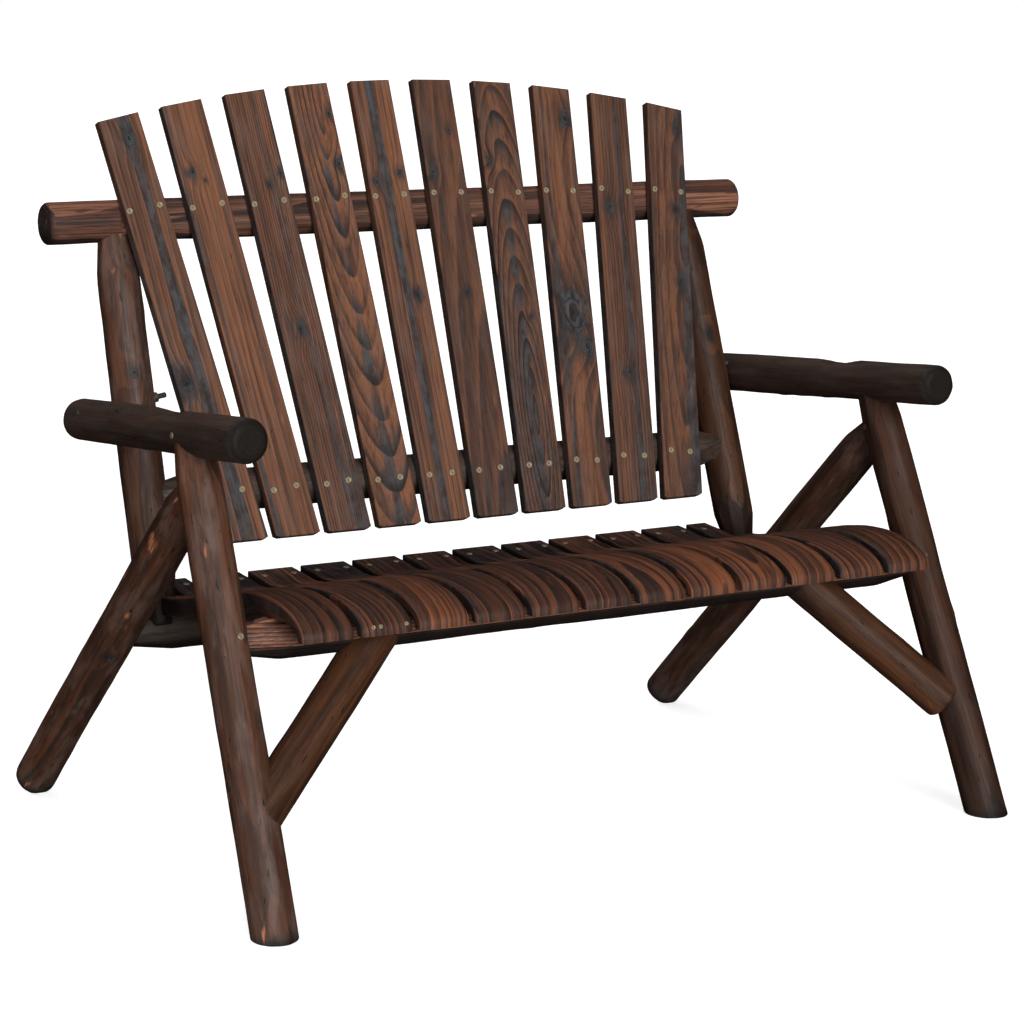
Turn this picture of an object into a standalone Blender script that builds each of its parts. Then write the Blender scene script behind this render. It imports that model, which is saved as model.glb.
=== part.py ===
"""Garden bench of round logs with a fanned slat back and a contoured slat seat.

Frame: metres, +Z up, the front faces -Y, X runs along the bench. The origin is on the
floor, at the centre of the bench's bounding box. Side pieces come in pairs: side -1 is
the bench's -X end, named _l, and side +1 is named _r.
"""
from math import cos, pi

import bmesh
import bpy
from mathutils import Matrix, Vector

# ---------------------------------------------------------------- driving dimensions
GAP = 0.0003                    # clearance between pieces that touch
CUTTER_REACH = 0.02             # how far a cutter runs past the wall that it cuts

LOG_R = 0.0300                  # legs, beams, braces and rails
ARM_R = 0.0295
POST_R = 0.0305
LOG_SIDES = 20
DIP_SIDES = 110                 # of the wide cylinder that cuts an armrest's dip
LOG_EDGE = 0.005                # rounding of a log's sawn end
TIP_EDGE = 0.002                # rounding of a tapered end

FRONT_SOLE = Vector((0.5730, -0.4105, 0.0))
LEG_SLOPE_Y = 0.4374            # a front leg's run in Y for each metre of height
LEG_SLOPE_X = -0.0329           # and in X: the legs splay outwards towards the floor
FRONT_LEG_TOP_Z = 0.612
FRONT_LEG_TIP = (0.0228, 0.092)         # every tip: (tip radius, taper length)
REAR_FOOT = Vector((0.5637, 0.4254, 0.0185))
REAR_LEG_MEETS_Z = 0.545        # height where a rear leg's axis meets the front leg's
REAR_LEG_PAST_AXIS = 0.004
REAR_LEG_TIP = (0.0180, 0.090)

ARM_REAR_Y, ARM_REAR_Z = 0.2445, 0.5806
ARM_FRONT_Y, ARM_FRONT_Z = -0.3135, 0.6166
ARM_DIP_Y, ARM_DIP_DEPTH, ARM_DIP_R = -0.050, 0.0062, 0.240

POST_BOTTOM = Vector((0.4955, 0.1001, 0.301))
POST_TOP = Vector((0.4820, 0.2722, 0.8500))
POST_FOOT_TIP, POST_HEAD_TIP = (0.0165, 0.092), (0.0190, 0.085)

RAIL_HALF_LENGTH = 0.584
TOP_RAIL_Y, TOP_RAIL_Z = 0.2722, 0.8560
LOWER_RAIL_Y, LOWER_RAIL_Z = 0.1480, 0.4760
LOWER_RAIL_HALF_LENGTH = 0.4895
LOWER_RAIL_TIP = (0.0155, 0.062)

FRONT_BEAM_Z = 0.351
REAR_BEAM_Y, REAR_BEAM_Z = 0.1120, 0.2945
BEAM_TIP_DEPTH = 0.024          # how deep a beam's tip sits in a leg
BEAM_TIP = (0.0172, 0.088)
BRACE_LEG_DISTANCE = 0.148      # along the leg, from the sole to the brace's axis
BRACE_BEAM_X = 0.3354

BACK_SLATS = 10
BACK_LEAN = Vector((0.0, 0.32498, 0.94572))      # up along the slats
BACK_THICKNESS = 0.017
BACK_SLAT_WIDTH_TOP, BACK_SLAT_WIDTH_BOTTOM = 0.0645, 0.0700
BACK_PITCH_AT_RAIL = 0.0984
BACK_PITCH_SLOPE = 0.0333       # the slats fan out: pitch gained for each metre upwards
BACK_BOTTOM = -0.4805           # along the slats, below the top rail's axis
BACK_ARC_CENTRE, BACK_ARC_R = -2.0035, 2.1955    # the tops lie on one arc
BACK_FACE_OFFSET = 0.0225       # from the top rail's axis to the slats' back faces
BACK_CORNER = 0.006             # the clipped corners at the bottom

SEAT_SLATS = 12
SEAT_PITCH = 0.08455
SEAT_SLAT_WIDTH = 0.0739
SEAT_REAR_BED_Z, SEAT_FRONT_BED_Z = 0.3205, 0.3785      # flats that lie on the beams
SEAT_NOTCH_X, SEAT_NOTCH_Y = 0.4649, 0.0800             # for the posts
SEAT_NOTCH_SIZE = 0.12

SCREW_R, SCREW_HEAD_R, SCREW_HEAD_H = 0.0022, 0.0045, 0.0028
SCREW_LENGTH, SCREW_POINT = 0.050, 0.010
SHORT_SCREW, POST_FOOT_SCREW = 0.045, 0.036             # where there is less wood
HEAD_SHARE = 0.93               # a sunk head's distance from a log's axis, in radii
POST_FOOT_HEAD = 0.75           # of a log's radius: how far the foot screw's head is off the axis
PIN_INSET = 0.004               # how far a beam's pin is from its leg's axis
FRONT_PIN_TURN = 0.165          # how much the front pins lean to the bench's middle
BRACE_SCREW_OFFSET, BRACE_SCREW_HEAD = 0.012, 0.0495
ARM_SCREW_Y = -0.1390
BOLT_R, BOLT_HEAD_R, BOLT_HEAD_H, BOLT_END = 0.0040, 0.0095, 0.0045, 0.014
BOLT_POINT, BOLT_SINK, WASHER_SINK = 0.001, 0.006, 0.004
ARM_BOLT_Y, ARM_BOLT_HEAD_Z, ARM_BOLT_NUT_Z = 0.1910, 0.5920, 0.6110
NUT_R, NUT_H = 0.0075, 0.0065
WASHER_R, WASHER_H = 0.0100, 0.0016
FASTENER_SIDES = 10

CHAR_BROWN = (0.075, 0.036, 0.022)
SLAT_BROWN = (0.135, 0.060, 0.035)
ARM_BLACK = (0.040, 0.026, 0.021)
BRASS = (0.62, 0.50, 0.30)
DARK_STEEL = (0.10, 0.095, 0.090)


# ---------------------------------------------------------------- scene and helpers
def clear_scene():
    for item in list(bpy.data.objects):
        bpy.data.objects.remove(item, do_unlink=True)


def new_collection(name):
    group = bpy.data.collections.new(name)
    bpy.context.scene.collection.children.link(group)
    return group


def new_material(name, colour, roughness, metallic=0.0):
    made = bpy.data.materials.new(name)
    made.use_nodes = True
    shader = made.node_tree.nodes["Principled BSDF"]
    shader.inputs["Base Color"].default_value = (*colour, 1.0)
    shader.inputs["Roughness"].default_value = roughness
    shader.inputs["Metallic"].default_value = metallic
    return made


def add_piece(name, data, finish=None):
    """A visible piece with a material of its own, or a hidden wire cutter without one."""
    piece = bpy.data.objects.new(name, data)
    if finish is None:
        CUTTERS.objects.link(piece)
        piece.display_type = "WIRE"
        piece.hide_render = True
        return piece
    PARTS.objects.link(piece)
    colour, roughness, metallic = finish
    piece.data.materials.append(new_material(name + "_finish", colour, roughness, metallic))
    return piece


def point_along(piece, start, end):
    """Put the piece's local Z axis on the line from start to end."""
    piece.location = start
    piece.rotation_mode = "QUATERNION"
    piece.rotation_quaternion = (Vector(end) - Vector(start)).to_track_quat("Z", "Y")
    return piece


def turned(name, profile, start, end, finish=None, sides=LOG_SIDES):
    """A turned piece. The profile holds (radius, height) pairs from its top down."""
    mesh = bpy.data.meshes.new(name)
    edges = [(index, index + 1) for index in range(len(profile) - 1)]
    mesh.from_pydata([(radius, 0.0, height) for radius, height in profile], edges, [])
    piece = point_along(add_piece(name, mesh, finish), start, end)
    screw = piece.modifiers.new("turn", "SCREW")
    screw.angle = 2 * pi
    screw.steps = sides
    screw.render_steps = sides
    screw.use_merge_vertices = True
    screw.merge_threshold = GAP / 10
    return piece


def box(name, centre, size, finish=None, turn=None):
    mesh = bpy.data.meshes.new(name)
    form = bmesh.new()
    bmesh.ops.create_cube(form, size=1.0, matrix=Matrix.Diagonal((*size, 1.0)))
    form.to_mesh(mesh)
    form.free()
    piece = add_piece(name, mesh, finish)
    piece.matrix_world = Matrix.Translation(centre) @ (turn or Matrix.Identity(4))
    return piece


def prism(name, radius, height, start, end, sides, finish=None):
    """A straight prism whose base centre is at start, such as a nut or a washer."""
    mesh = bpy.data.meshes.new(name)
    form = bmesh.new()
    bmesh.ops.create_cone(form, cap_ends=True, segments=sides, radius1=radius, radius2=radius,
                          depth=height, matrix=Matrix.Translation((0, 0, height / 2)))
    form.to_mesh(mesh)
    form.free()
    return point_along(add_piece(name, mesh, finish), start, end)


def cut(piece, *cutters):
    for cutter in cutters:
        boolean = piece.modifiers.new("cut_" + cutter.name, "BOOLEAN")
        boolean.operation = "DIFFERENCE"
        boolean.solver = "EXACT"
        boolean.object = cutter
    return piece


def mirrored(point, side):
    return Vector((side * point.x, point.y, point.z))


def suffix(side):
    return "_l" if side < 0 else "_r"


def front_leg_axis(side, height):
    offset = Vector((LEG_SLOPE_X, LEG_SLOPE_Y, 1.0)) * height
    return mirrored(FRONT_SOLE + offset, side)


def post_axis(side, height):
    share = (height - POST_BOTTOM.z) / (POST_TOP.z - POST_BOTTOM.z)
    return between(mirrored(POST_BOTTOM, side), mirrored(POST_TOP, side), share)


def between(start, end, share):
    return Vector(start).lerp(Vector(end), share)


# ---------------------------------------------------------------- logs
def log_profile(length, radius, top_tip, bottom_tip, grow):
    """(radius, height) pairs of a log, from its top down.

    A tip is None for a sawn end with a rounded edge, or (tip radius, taper length).
    grow makes the same shape larger all round, for cutting the socket that holds it.
    """
    def end_points(tip, edge_radius):
        rim = edge_radius + grow
        rounding = TIP_EDGE if tip else LOG_EDGE
        middle = rounding * (1 - cos(pi / 4))
        points = [(0.0, -grow), (rim - rounding, -grow), (rim - middle, middle - grow),
                  (rim, rounding - grow)]
        if tip:
            points.append((radius + grow, tip[1]))
        return points

    top = end_points(top_tip, top_tip[0] if top_tip else radius)
    bottom = end_points(bottom_tip, bottom_tip[0] if bottom_tip else radius)
    return [(r, length - h) for r, h in top] + [(r, h) for r, h in reversed(bottom)]


def log(name, start, end, radius=LOG_R, start_tip=None, end_tip=None, finish=None, grow=0.0):
    length = (Vector(end) - Vector(start)).length
    return turned(name, log_profile(length, radius, end_tip, start_tip, grow), start, end, finish)


def log_and_socket(name, start, end, finish, **shape):
    """A log, and the slightly larger cutter that makes room for it in another piece."""
    piece = log(name, start, end, finish=finish, **shape)
    socket = log("room_for_" + name, start, end, grow=GAP, **shape)
    return piece, socket


# ---------------------------------------------------------------- fasteners
def fastener_profile(head_r, head_h, shank_r, length, point, grow=0.0):
    """A head at height 0 and a shank that runs up, listed from the shank's end down."""
    shank_end = length + grow
    if grow:
        return [(0.0, shank_end), (shank_r + grow, shank_end), (shank_r + grow, head_h + grow),
                (head_r + grow, head_h + grow), (head_r + grow, -CUTTER_REACH),
                (0.0, -CUTTER_REACH)]
    return [(0.0, shank_end), (shank_r, shank_end - point), (shank_r, head_h), (head_r, head_h),
            (head_r, head_h / 2), (head_r * 0.7, 0.0), (0.0, 0.0)]


def screw(name, head, towards, *pieces, length=SCREW_LENGTH):
    """A wood screw with its head at one point, driven towards another, through pieces."""
    shape = (SCREW_HEAD_R, SCREW_HEAD_H, SCREW_R, length, SCREW_POINT)
    turned(name, fastener_profile(*shape), head, towards, BRASS_FINISH, FASTENER_SIDES)
    hole = turned("hole_for_" + name, fastener_profile(*shape, grow=GAP), head, towards,
                  sides=FASTENER_SIDES)
    for piece in pieces:
        cut(piece, hole)


# ---------------------------------------------------------------- boards
def outline_curve(name, points, width, smooth):
    """A flat closed outline, filled on both sides and as thick as width."""
    curve = bpy.data.curves.new(name, "CURVE")
    curve.dimensions = "2D"
    curve.fill_mode = "BOTH"
    curve.extrude = width / 2
    curve.resolution_u = 3
    spline = curve.splines.new("BEZIER")
    spline.bezier_points.add(len(points) - 1)
    spline.use_cyclic_u = True
    for knot, (along, up), is_smooth in zip(spline.bezier_points, points, smooth):
        knot.co = (along, up, 0.0)
        knot.handle_left_type = "AUTO" if is_smooth else "VECTOR"
        knot.handle_right_type = knot.handle_left_type
    return curve


def solid_mesh(curve, name):
    """The closed mesh of an extruded outline, with its loose caps welded on."""
    shaper = bpy.data.objects.new(name, curve)
    CUTTERS.objects.link(shaper)
    graph = bpy.context.evaluated_depsgraph_get()
    mesh = bpy.data.meshes.new_from_object(shaper.evaluated_get(graph))
    bpy.data.objects.remove(shaper, do_unlink=True)
    form = bmesh.new()
    form.from_mesh(mesh)
    bmesh.ops.remove_doubles(form, verts=form.verts, dist=GAP / 10)
    bmesh.ops.recalc_face_normals(form, faces=form.faces)
    form.to_mesh(mesh)
    form.free()
    mesh.name = name
    return mesh


def seat_outline():
    """A seat slat seen from its end: (Y, Z) pairs, and whether each is on a curve."""
    top = [(0.1600, 0.3535, False), (0.1180, 0.3495, True), (0.0850, 0.3458, True),
           (0.0350, 0.3520, True), (-0.1025, 0.3817, True), (-0.1758, 0.3965, True),
           (-0.2400, 0.4026, True), (-0.3030, 0.3968, True), (-0.3380, 0.3855, True),
           (-0.3555, 0.3720, True), (-0.3578, 0.3590, False)]
    under = [(-0.3430, 0.3590, False), (-0.3400, 0.3690, True), (-0.3220, 0.3765, True),
             (-0.2900, SEAT_FRONT_BED_Z, False), (-0.2300, SEAT_FRONT_BED_Z, False),
             (-0.1930, 0.3720, True), (-0.0310, 0.3400, True), (0.0450, 0.3240, True),
             (0.0820, SEAT_REAR_BED_Z, False), (0.1420, SEAT_REAR_BED_Z, False),
             (0.1600, 0.3225, False)]
    corners = top + under
    return [(y, z) for y, z, _ in corners], [smooth for _, _, smooth in corners]


def back_pitch(height):
    return BACK_PITCH_AT_RAIL + BACK_PITCH_SLOPE * height


def back_edge(index, side, height):
    """X of a back slat's edge at a height along the slats. The slats widen downwards."""
    share = (height - BACK_BOTTOM) / (BACK_ARC_CENTRE + BACK_ARC_R - BACK_BOTTOM)
    width = BACK_SLAT_WIDTH_BOTTOM + (BACK_SLAT_WIDTH_TOP - BACK_SLAT_WIDTH_BOTTOM) * share
    return (index - (BACK_SLATS - 1) / 2) * back_pitch(height) + side * width / 2


def back_corner(index, side):
    """Where a back slat's edge meets the arc that its top is sawn to."""
    height = 0.0
    for _ in range(6):
        across = back_edge(index, side, height)
        height = BACK_ARC_CENTRE + (BACK_ARC_R ** 2 - across ** 2) ** 0.5
    return across, height


def back_outline(index):
    low = BACK_BOTTOM + BACK_CORNER / 2
    points = [back_corner(index, 1), back_corner(index, -1)]
    for side in (-1, 1):
        edge = back_edge(index, side, low)
        inset = (edge - side * BACK_CORNER, BACK_BOTTOM)
        points += [(edge, low), inset] if side < 0 else [inset, (edge, low)]
    return points, [False] * len(points)


# ---------------------------------------------------------------- sections of the bench
def make_rails():
    pieces = {}
    for name, y, z, half, tip in (
            ("top_rail", TOP_RAIL_Y, TOP_RAIL_Z, RAIL_HALF_LENGTH, None),
            ("lower_back_rail", LOWER_RAIL_Y, LOWER_RAIL_Z, LOWER_RAIL_HALF_LENGTH,
             LOWER_RAIL_TIP)):
        start, end = Vector((-half, y, z)), Vector((half, y, z))
        pieces[name] = log_and_socket(name, start, end, CHAR_FINISH, start_tip=tip, end_tip=tip)
        planed_flat_for_slats(pieces[name][0], name, y, z)
    return pieces


def back_plane():
    """The back slats' front normal, and the turn from X, up the slats, normal to world axes."""
    along_x = Vector((1.0, 0.0, 0.0))
    front = along_x.cross(BACK_LEAN)
    return front, Matrix((along_x, BACK_LEAN, front)).transposed().to_4x4()


def planed_flat_for_slats(rail, name, y, z):
    """Plane the rail's front where the back slats lie against it."""
    front, turn = back_plane()
    axis = Vector((0.0, y, z))
    rail_point = Vector((0.0, TOP_RAIL_Y, TOP_RAIL_Z)) + front * (BACK_FACE_OFFSET - GAP)
    face = axis + front * (rail_point - axis).dot(front)
    top_of_flat = (z + LOG_R - TOP_RAIL_Z) / BACK_LEAN.z
    width = 2 * back_edge(BACK_SLATS - 1, 1, top_of_flat)
    cut(rail, box("flat_" + name, face + front * LOG_R / 2, (width, 3 * LOG_R, LOG_R), turn=turn))


def make_side(side, rails):
    """The legs, post and armrest at one end of the bench, with what the beams have to clear."""
    tag = suffix(side)
    leg_up = Vector((side * LEG_SLOPE_X, LEG_SLOPE_Y, 1.0)).normalized()
    inward = Vector((-side, 0.0, 0.0))

    below_floor = front_leg_axis(side, 0.0) - leg_up * 2 * LOG_R
    leg, leg_room = log_and_socket("front_leg" + tag, below_floor,
                                   front_leg_axis(side, FRONT_LEG_TOP_Z), CHAR_FINISH,
                                   end_tip=FRONT_LEG_TIP)

    meets = front_leg_axis(side, REAR_LEG_MEETS_Z)
    foot = mirrored(REAR_FOOT, side)
    rear_up = (meets - foot).normalized()
    rear_leg, rear_room = log_and_socket("rear_leg" + tag, foot,
                                         meets + rear_up * REAR_LEG_PAST_AXIS, CHAR_FINISH,
                                         end_tip=REAR_LEG_TIP)
    cut(leg, rear_room)

    post, post_room = log_and_socket("back_post" + tag, mirrored(POST_BOTTOM, side),
                                     mirrored(POST_TOP, side), CHAR_FINISH, radius=POST_R,
                                     start_tip=POST_FOOT_TIP, end_tip=POST_HEAD_TIP)
    cut(post, rails["lower_back_rail"][1])
    cut(rails["top_rail"][0], post_room)

    post_x = post_axis(1, ARM_REAR_Z).x
    arm_x = side * (post_x + POST_R + ARM_R + 2 * GAP)
    arm_rear = Vector((arm_x, ARM_REAR_Y, ARM_REAR_Z))
    arm_front = Vector((arm_x, ARM_FRONT_Y, ARM_FRONT_Z))
    arm = log("armrest" + tag, arm_rear, arm_front, radius=ARM_R, finish=ARM_FINISH)
    cut(arm, leg_room, arm_dip(tag, arm_rear, arm_front))

    floor_size = Vector((6 * LOG_R, 3 * REAR_FOOT.y, 4 * LOG_R))
    floor = box("floor" + tag, (side * FRONT_SOLE.x, 0.0, -floor_size.z / 2), floor_size)
    cut(leg, floor)
    cut(rear_leg, floor)

    end = dict(leg=leg, leg_room=leg_room, rear_leg=rear_leg, post=post, post_room=post_room,
               arm=arm, arm_rear=arm_rear, arm_front=arm_front, meets=meets, leg_up=leg_up,
               rear_up=rear_up, inward=inward)
    fasten_armrest(side, end)
    fasten_side(side, end, rails)
    return end


def arm_dip(tag, rear, front):
    """A shallow scoop across the top of an armrest, cut with a sideways cylinder."""
    share = (ARM_DIP_Y - rear.y) / (front.y - rear.y)
    centre = between(rear, front, share)
    centre.z += ARM_R - ARM_DIP_DEPTH + ARM_DIP_R
    reach = Vector((ARM_R + CUTTER_REACH, 0.0, 0.0))
    profile = [(0.0, reach.x * 2), (ARM_DIP_R, reach.x * 2), (ARM_DIP_R, 0.0), (0.0, 0.0)]
    return turned("dip" + tag, profile, centre - reach, centre + reach, sides=DIP_SIDES)


def fasten_armrest(side, end):
    """Screw an armrest to its front leg, and bolt it to its post."""
    tag = suffix(side)
    outward = end["inward"] * -1.0
    rear, front = end["arm_rear"], end["arm_front"]
    over_leg = between(rear, front, (ARM_SCREW_Y - rear.y) / (front.y - rear.y))
    screw("arm_screw" + tag, over_leg + outward * ARM_R, over_leg, end["arm"], end["leg"])

    outside = Vector((rear.x, ARM_BOLT_Y, ARM_BOLT_HEAD_Z)) + outward * (ARM_R - BOLT_SINK)
    inside = Vector((rear.x, ARM_BOLT_Y, ARM_BOLT_NUT_Z)) + end["inward"] * (ARM_R + 2 * POST_R)
    towards = (inside - outside).normalized()
    head = outside - towards * BOLT_HEAD_H
    washer_seat = inside - towards * WASHER_SINK
    nut_seat = washer_seat + towards * (WASHER_H + GAP)
    length = (nut_seat - head).length + NUT_H + BOLT_END
    shape = (BOLT_HEAD_R, BOLT_HEAD_H, BOLT_R, length, BOLT_POINT)
    turned("arm_bolt" + tag, fastener_profile(*shape), head, inside, STEEL_FINISH, FASTENER_SIDES)
    hole = turned("hole_for_arm_bolt" + tag, fastener_profile(*shape, grow=GAP), head, inside,
                  sides=FASTENER_SIDES)
    face = prism("face_for_washer" + tag, WASHER_R + TIP_EDGE / 2, CUTTER_REACH * 2,
                 washer_seat - towards * GAP, washer_seat + towards, LOG_SIDES)
    cut(end["arm"], hole)
    cut(end["post"], hole, face)
    cut(prism("arm_washer" + tag, WASHER_R, WASHER_H, washer_seat, washer_seat + towards,
              LOG_SIDES, STEEL_FINISH), hole)
    cut(prism("arm_nut" + tag, NUT_R, NUT_H, nut_seat + towards * GAP, nut_seat + towards, 6,
              STEEL_FINISH), hole)


def fasten_side(side, end, rails):
    """Screws through the joints of the rear leg, the top rail and the lower rail."""
    tag = suffix(side)
    tip = end["meets"] - end["rear_up"] * REAR_LEG_PAST_AXIS * 2
    screw("rear_leg_screw" + tag, tip + end["inward"] * LOG_R * HEAD_SHARE, tip, end["leg"],
          end["rear_leg"], length=SHORT_SCREW)

    behind = Vector((0.0, 1.0, 0.0))
    top_rail, lower_rail = rails["top_rail"][0], rails["lower_back_rail"][0]
    in_tip = Vector((side * POST_TOP.x, TOP_RAIL_Y, TOP_RAIL_Z - LOG_R / 3))
    screw("top_rail_screw" + tag, in_tip + behind * LOG_R * HEAD_SHARE, in_tip, top_rail,
          end["post"], length=SHORT_SCREW)

    in_post = post_axis(side, LOWER_RAIL_Z) + end["inward"] * POST_R / 3
    screw("lower_rail_screw" + tag, in_post + behind * POST_R * HEAD_SHARE, in_post,
          end["post"], lower_rail, length=SHORT_SCREW)


def make_beams(ends):
    """The two cross beams with flats planed for the seat slats, and the front braces."""
    front_axis = front_leg_axis(1, FRONT_BEAM_Z)
    climb = ends[1]["rear_up"] * (REAR_BEAM_Z - REAR_FOOT.z) / ends[1]["rear_up"].z
    rear_axis = Vector(((REAR_FOOT + climb).x, REAR_BEAM_Y, REAR_BEAM_Z))
    flat_length = (SEAT_SLATS - 1) * SEAT_PITCH + SEAT_SLAT_WIDTH + 2 * TIP_EDGE
    beams = {}
    for name, axis, bed, leg in (("front_beam", front_axis, SEAT_FRONT_BED_Z, "leg"),
                                 ("rear_beam", rear_axis, SEAT_REAR_BED_Z, "rear_leg")):
        half = axis.x - LOG_R + BEAM_TIP_DEPTH
        beam, room = log_and_socket(name, Vector((-half, axis.y, axis.z)),
                                    Vector((half, axis.y, axis.z)), CHAR_FINISH,
                                    start_tip=BEAM_TIP, end_tip=BEAM_TIP)
        cut(beam, box("flat_" + name, (0.0, axis.y, bed - GAP + LOG_R / 2),
                      (flat_length, 2 * LOG_R, LOG_R)))
        for end in ends.values():
            cut(end[leg], room)
        beams[name] = (beam, room, axis)
    for side, end in ends.items():
        cut(beams["rear_beam"][0], end["post_room"])
        make_brace(side, end, *beams["front_beam"])
        fasten_beams(side, end, beams)


def make_brace(side, end, beam, beam_room, axis):
    tag = suffix(side)
    low = mirrored(FRONT_SOLE, side) + end["leg_up"] * BRACE_LEG_DISTANCE
    high = Vector((side * BRACE_BEAM_X, axis.y, axis.z))
    brace = log("brace" + tag, low, high, finish=CHAR_FINISH)
    cut(brace, end["leg_room"], beam_room)
    at_leg = low + end["leg_up"] * BRACE_SCREW_OFFSET
    screw("brace_leg_screw" + tag, at_leg + end["inward"] * BRACE_SCREW_HEAD, at_leg, brace,
          end["leg"])
    at_beam = high - end["inward"] * BRACE_SCREW_OFFSET
    screw("brace_beam_screw" + tag, at_beam - end["leg_up"] * BRACE_SCREW_HEAD, at_beam, brace,
          beam)


def fasten_beams(side, end, beams):
    """Screws that pin each beam's tip in its leg, and each post's foot in the rear beam."""
    tag = suffix(side)
    across = Vector((1.0, 0.0, 0.0))
    front_beam, _, front_axis = beams["front_beam"]
    rear_beam, _, rear_axis = beams["rear_beam"]
    in_front = mirrored(front_axis, side) + end["inward"] * PIN_INSET
    front_out = across.cross(end["leg_up"]) + end["inward"] * FRONT_PIN_TURN
    screw("front_beam_screw" + tag, in_front + front_out.normalized() * LOG_R, in_front,
          end["leg"], front_beam)
    in_rear = mirrored(rear_axis, side) + end["inward"] * PIN_INSET
    rear_out = end["rear_up"].cross(across).normalized()
    screw("rear_beam_screw" + tag, in_rear + rear_out * LOG_R * HEAD_SHARE, in_rear,
          end["rear_leg"], rear_beam)
    in_foot = Vector((side * POST_BOTTOM.x, REAR_BEAM_Y, REAR_BEAM_Z + POST_FOOT_TIP[0]))
    screw("post_foot_screw" + tag, in_foot + Vector((0.0, LOG_R * POST_FOOT_HEAD, 0.0)), in_foot,
          rear_beam, end["post"], length=POST_FOOT_SCREW)


def make_back():
    front, turn = back_plane()
    centre = Vector((0.0, TOP_RAIL_Y, TOP_RAIL_Z)) + front * (
        BACK_FACE_OFFSET + BACK_THICKNESS / 2)
    for index in range(BACK_SLATS):
        name = f"back_slat_{index + 1:02d}"
        points, smooth = back_outline(index)
        slat = add_piece(name, outline_curve(name, points, BACK_THICKNESS, smooth), SLAT_FINISH)
        slat.matrix_world = Matrix.Translation(centre) @ turn


def make_seat():
    points, smooth = seat_outline()
    curve = outline_curve("seat_slat", points, SEAT_SLAT_WIDTH, smooth)
    mesh = solid_mesh(curve, "seat_slat")
    turn = Matrix(((0, 0, 1), (1, 0, 0), (0, 1, 0))).to_4x4()
    notch_size = Vector((SEAT_SLAT_WIDTH, SEAT_NOTCH_SIZE, SEAT_NOTCH_SIZE))
    for index in range(SEAT_SLATS):
        across = (index - (SEAT_SLATS - 1) / 2) * SEAT_PITCH
        slat = add_piece(f"seat_slat_{index + 1:02d}", mesh.copy(), SLAT_FINISH)
        slat.matrix_world = Matrix.Translation((across, 0.0, 0.0)) @ turn
        if index in (0, SEAT_SLATS - 1):
            side = -1 if index == 0 else 1
            centre = Vector((side * (SEAT_NOTCH_X + notch_size.x / 2),
                             SEAT_NOTCH_Y + notch_size.y / 2, SEAT_REAR_BED_Z))
            cut(slat, box("notch" + suffix(side), centre, notch_size))


clear_scene()
PARTS = new_collection("garden_bench")
CUTTERS = new_collection("cutters")
CHAR_FINISH = (CHAR_BROWN, 0.50, 0.0)
SLAT_FINISH = (SLAT_BROWN, 0.45, 0.0)
ARM_FINISH = (ARM_BLACK, 0.45, 0.0)
BRASS_FINISH = (BRASS, 0.35, 1.0)
STEEL_FINISH = (DARK_STEEL, 0.45, 1.0)

back_rails = make_rails()
bench_ends = {side: make_side(side, back_rails) for side in (-1, 1)}
make_beams(bench_ends)
make_back()
make_seat()
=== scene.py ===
"""The looks of a garden bench of burnt logs and brushed boards, in a plain pale studio.

Frame: metres, +Z up, the bench's front faces -Y and X runs along it. Each log and board of the
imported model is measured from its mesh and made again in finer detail, in the same place.
"""

from functools import reduce
from math import cos, exp, hypot, pi, sin, tau
from random import Random

import bmesh
import bpy
import numpy as np
from mathutils import Matrix, Vector, noise


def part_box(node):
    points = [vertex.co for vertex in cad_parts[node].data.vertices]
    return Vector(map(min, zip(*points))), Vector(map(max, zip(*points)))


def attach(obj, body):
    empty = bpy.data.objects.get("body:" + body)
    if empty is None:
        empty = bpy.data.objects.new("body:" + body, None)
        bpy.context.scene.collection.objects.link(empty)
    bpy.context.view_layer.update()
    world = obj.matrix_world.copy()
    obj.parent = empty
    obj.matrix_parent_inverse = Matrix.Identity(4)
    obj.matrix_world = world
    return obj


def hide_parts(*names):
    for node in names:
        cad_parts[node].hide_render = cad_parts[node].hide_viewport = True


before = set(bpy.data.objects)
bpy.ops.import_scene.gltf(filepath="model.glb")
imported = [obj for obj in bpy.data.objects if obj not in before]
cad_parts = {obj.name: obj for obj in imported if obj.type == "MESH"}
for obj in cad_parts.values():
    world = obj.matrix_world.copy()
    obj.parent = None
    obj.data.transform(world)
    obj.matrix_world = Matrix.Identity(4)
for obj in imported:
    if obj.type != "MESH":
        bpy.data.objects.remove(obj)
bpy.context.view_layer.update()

# ---------------- driving values
CAMERA_PLACE = Vector((-2.0972, -3.5768, 1.1329))
CAMERA_YAW, CAMERA_PITCH, CAMERA_ROLL = 0.5336, -0.1659, -0.0019
CAMERA_LENS, CAMERA_SHIFT = 102.03, (0.0005, -0.0030)

FIT_ROUNDS, SIDE_TILT = 40, 0.004           # for finding a log's axis from its side faces
LOG_SEGMENTS, LOG_STEP = 56, 0.0065         # points round a log, and between its rings
SAWN_EDGE, TIP_EDGE, SOLE_EDGE, ARM_DOME = 0.0055, 0.0030, 0.0022, 0.0120   # rounded ends
SAW_MARKS = 0.0002
LOG_RIPPLE, LOG_CROOK = 0.0005, 0.0010      # uneven radius, and how far a log bends
LUMPS, LUMP_WIDTH = 5, 0.012                # small bulges where branches were
TIP_CUTS = 9                                # knife cuts around a tapered tip
PITH_LEAN, PITH_OFFSET = 0.016, 0.008       # how far a log's pith strays from its axis
FLAT_MARGIN = 0.0015                        # planed flats reach past the boards on them
BACK_FLAT_GAP = 0.0003
BRACE_TRIMS = {"_l": 0.0, "_r": 0.0290}     # how much sooner a brace's foot ends
ARM_DIP_Y, ARM_DIP_DEPTH, ARM_DIP_R = -0.050, 0.0062, 0.240     # the scoop across an armrest

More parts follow.
